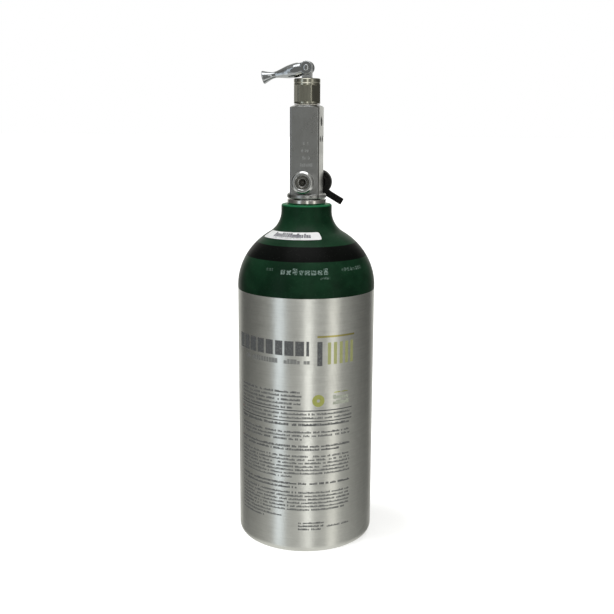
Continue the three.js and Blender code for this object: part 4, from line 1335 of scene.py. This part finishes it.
capSize = {"x": 6.7, "z": 293.1, "front": 16.0, "outer": 10.2, "inner": 9.05, "length": 7.0, "crown": 1.4,
           "ribInner": 5.4, "ribOuter": 6.6, "rib": 0.8, "eyelet": (3.8, 6.0), "eyeletFront": 11.4,
           "thickness": 2.0, "strapX": (1.4, 5.6), "tab": (20.3, 280.8), "tabSize": (13.6, 1.8, 5.5),
           "slope": 30.0, "voxel": 0.24}


def buildDustCap():
    # A cup, a pull tab on a web, and a strap up to an eyelet round the relief plug, moulded in one.
    c = capSize
    cup = turnPiece("dustCap", softOutline([
        (0, 0), (c["outer"], 0, 1.1), (c["outer"], c["length"] - 1.4, 0.2), (c["outer"], c["length"], 0.4),
        (c["inner"], c["length"], 0.3), (c["inner"], c["crown"], 0.8), (0, c["crown"])]))
    ribRing = ringPiece("rib", c["ribInner"], c["ribOuter"], -c["rib"], 0.7)
    alongBack(cup, c["front"], c["z"], c["x"])
    alongBack(ribRing, c["front"], c["z"], c["x"])

    tabX, tabZ = c["tab"]
    length, thick, width = c["tabSize"]
    tabFront = c["front"] + c["crown"] - thick / 2
    tab = blockPiece("tab", (length, thick, width), (0, thick / 2, 0))
    softenEdges(tab, 0.5, 3, 60)
    ribs = [blockPiece("gripRib", (1.0, 0.9, width - 0.5), (t * length, -0.05, 0))
            for t in (0.0, 0.15, 0.3, 0.45)]
    weld(tab, *ribs)
    place(tab, (0, c["slope"], 0), (tabX, tabFront, tabZ))
    reach = c["outer"] - 2.5
    root = Vector((c["x"] + reach * 0.6, c["z"] - reach * 0.8))
    back = length / 2 - 1
    slope = math.radians(c["slope"])
    start = Vector((tabX - back * math.cos(slope), tabZ + back * math.sin(slope)))
    way = (start - root).normalized()
    aside = Vector((-way.y, way.x)) * (width / 2)
    corners = [root - aside, start - aside, start + aside, root + aside]
    web = platePiece("web", [tuple(p) for p in corners], tabFront, tabFront + thick)

    eyeInner, eyeOuter = c["eyelet"]
    eyelet = turnPiece("eyelet", softOutline([
        (eyeInner, 0, 0.3), (eyeOuter, 0, 0.5), (eyeOuter, c["thickness"], 0.5),
        (eyeInner, c["thickness"], 0.3)]), 64)
    alongBack(eyelet, c["eyeletFront"], valve["reliefLevel"])
    top = valve["reliefLevel"] - eyeOuter * 0.62
    foot = c["z"] + c["outer"] - 2.8
    left, right = c["strapX"]
    near, far = c["eyeletFront"], c["eyeletFront"] + c["thickness"]
    frontFoot = c["front"] + 0.2
    backFoot = frontFoot + c["thickness"]
    # The strap's side profile is cut as a plate and then turned to face along X.
    profile = [(near, top), (near, top - 2.0), (near + 0.5, top - 3.4), (frontFoot - 0.5, foot + 1.6),
               (frontFoot, foot), (backFoot, foot), (backFoot, foot + 1.8), (far + 0.6, top - 2.4),
               (far, top - 1.2), (far, top)]
    strap = platePiece("strap", profile, -right, -left)
    place(strap, (0, 0, 90))
    weld(cup, ribRing, tab, web, eyelet, strap)
    remould(cup, c["voxel"], 3)
    closeUp(cup)
    shade(cup, 50)
    return fit(cup, "cap", "dust_cap", [finishes["cap"]], "dust_cap")


buildFillPort()
buildSeatRing()
buildPoppet()
buildSpring()
buildReliefPlug()
buildDustCap()
print("fill port, relief plug and dust cap done")


# Pieces inside that keep their CAD shape.
keptFinishes = {
    "neck_o_ring": "seal", "stem_o_ring": "seal", "fill_port_o_ring": "seal", "poppet_o_ring": "seal",
    "debris_tube": "brass", "inlet_filter": "sinter", "seat_plug": "brass", "seat_insert": "polymer",
    "stem_thrust_washer": "polymer", "burst_disc": "copper", "relief_gasket": "polymer",
}
for node, finish in keptFinishes.items():
    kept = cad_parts[node]
    kept.data.materials.clear()
    kept.data.materials.append(finishes[finish])


studio = {
    "floor": 0.55, "glowNear": 0.60, "glowFar": 1.0, "shadowAt": (0.055, 0.015), "backdrop": 1.0,
    "front": 13.0, "aimAt": 0.2,
    # how bright the room is: in front, at the sides, behind, below and overhead
    "room": {"front": 0.29, "side": 0.11, "back": 0.80, "below": 0.95, "above": 0.42},
    # name, azimuth from the front, height of its middle, distance, width, height, power, colour
    "softBoxes": [
        ("leftBox", -34, 0.2, 1.7, 0.48, 3.0, 4.4, (0.82, 0.92, 1.0)),
        ("middleBox", 15, 0.2, 1.7, 0.36, 3.0, 4.4, (1.0, 1.0, 0.95)),
        ("rightBox", 57, 0.2, 1.7, 0.44, 3.0, 3.9, (1.0, 0.98, 0.90)),
        ("topBox", 0, 2.0, 0.5, 1.6, 1.2, 18, (1.0, 1.0, 1.0)),
    ],
}


def buildFloor():
    clearSelection()
    bpy.ops.mesh.primitive_plane_add(size=30, location=(0, 0, 0))
    floor = bpy.context.object
    floor.name = "studioFloor"
    material = bpy.data.materials.new("paleFloor")
    material.use_nodes = True
    tree = material.node_tree
    tree.nodes.clear()
    diffuse = tree.nodes.new("ShaderNodeBsdfDiffuse")
    diffuse.inputs[0].default_value = (studio["floor"], studio["floor"], studio["floor"], 1)
    glow = tree.nodes.new("ShaderNodeEmission")
    path = tree.nodes.new("ShaderNodeLightPath")
    x, y, _ = split(tree, tree.nodes.new("ShaderNodeTexCoord").outputs["Object"])
    x, y = [minus(tree, side, middle) for side, middle in zip((x, y), studio["shadowAt"])]
    away = calc(tree, "SQRT", plus(tree, times(tree, x, x), times(tree, y, y)))  # from the shadow's middle
    # The camera sees the floor's glow dimmed round shadowAt, a painted shadow that also lets the floor's cast
    # shadow show.
    level = between(tree, away, 0.02, 0.09, studio["glowNear"], studio["glowFar"])
    tree.links.new(times(tree, path.outputs["Is Camera Ray"], level), glow.inputs["Strength"])
    both = tree.nodes.new("ShaderNodeAddShader")
    tree.links.new(diffuse.outputs[0], both.inputs[0])
    tree.links.new(glow.outputs[0], both.inputs[1])
    clear = tree.nodes.new("ShaderNodeBsdfTransparent")
    mix = tree.nodes.new("ShaderNodeMixShader")
    tree.links.new(path.outputs["Is Glossy Ray"], mix.inputs[0])
    tree.links.new(both.outputs[0], mix.inputs[1])
    tree.links.new(clear.outputs[0], mix.inputs[2])
    output = tree.nodes.new("ShaderNodeOutputMaterial")
    tree.links.new(mix.outputs[0], output.inputs[0])
    floor.data.materials.append(material)


def buildSoftBoxes():
    for name, azimuth, height, distance, width, tall, power, colour in studio["softBoxes"]:
        box = bpy.data.lights.new(name, "AREA")
        box.shape = "RECTANGLE"
        box.size, box.size_y = width, tall
        box.energy = power
        box.color = colour
        lamp = bpy.data.objects.new(name, box)
        scene.collection.objects.link(lamp)
        angle = math.radians(azimuth)
        lamp.location = (distance * math.sin(angle), -distance * math.cos(angle), height)
        aim = Vector((0, 0, studio["aimAt"])) - lamp.location
        lamp.rotation_euler = aim.to_track_quat("-Z", "Y").to_euler()


def buildRoom():
    # The camera sees a white backdrop. Reflections see a soft room, lit in front and behind and dim at
    # the sides.
    room = studio["room"]
    world = bpy.data.worlds.new("studioRoom")
    scene.world = world
    world.use_nodes = True
    tree = world.node_tree
    tree.nodes.clear()
    seen = tree.nodes.new("ShaderNodeBackground")
    seen.inputs[0].default_value = (1, 1, 1, 1)
    seen.inputs[1].default_value = studio["backdrop"]
    direction = tree.nodes.new("ShaderNodeTexCoord").outputs["Generated"]
    x, y, z = split(tree, direction)
    front = math.radians(studio["front"])
    towards = plus(tree, times(tree, x, math.sin(front)),
                   times(tree, y, -math.cos(front)))
    level = calc(tree, "SQRT", minus(tree, 1.0001, times(tree, z, z)))
    facing = calc(tree, "DIVIDE", towards, level)
    bright = between(tree, facing, -0.15, 0.62, room["side"], room["front"])
    bright = plus(tree, bright, between(tree, facing, -0.72, -0.95, 0.0, room["back"] - room["side"]))
    over = between(tree, z, 0.45, 0.8)
    under = between(tree, z, -0.31, -0.75)
    rest = minus(tree, minus(tree, 1.0, over), under)
    total = times(tree, bright, rest)
    total = plus(tree, total, times(tree, over, room["above"]))
    total = plus(tree, total, times(tree, under, room["below"]))
    around = tree.nodes.new("ShaderNodeBackground")
    around.inputs[0].default_value = (1.0, 1.0, 0.93, 1)
    tree.links.new(total, around.inputs[1])
    path = tree.nodes.new("ShaderNodeLightPath")
    mix = tree.nodes.new("ShaderNodeMixShader")
    tree.links.new(path.outputs["Is Camera Ray"], mix.inputs[0])
    tree.links.new(around.outputs[0], mix.inputs[1])
    tree.links.new(seen.outputs[0], mix.inputs[2])
    output = tree.nodes.new("ShaderNodeOutputWorld")
    tree.links.new(mix.outputs[0], output.inputs[0])


viewPoint = {"distance": 0.7626, "height": 0.3462, "yaw": 10.8, "down": 11.43, "roll": -0.27, "lens": 55.46}


def buildCamera():
    camera = bpy.data.cameras.new("studioCamera")
    camera.lens = viewPoint["lens"]
    camera.sensor_width = 36
    camera.clip_start = 0.01
    holder = bpy.data.objects.new("studioCamera", camera)
    scene.collection.objects.link(holder)
    yaw = math.radians(viewPoint["yaw"])
    away = viewPoint["distance"]
    holder.location = (away * math.sin(yaw), -away * math.cos(yaw), viewPoint["height"])
    turns = (90 - viewPoint["down"], viewPoint["roll"], viewPoint["yaw"])
    holder.rotation_euler = [math.radians(angle) for angle in turns]
    scene.camera = holder


buildFloor()
buildSoftBoxes()
buildRoom()
buildCamera()
scene.view_settings.view_transform = "Standard"
print("studio done")
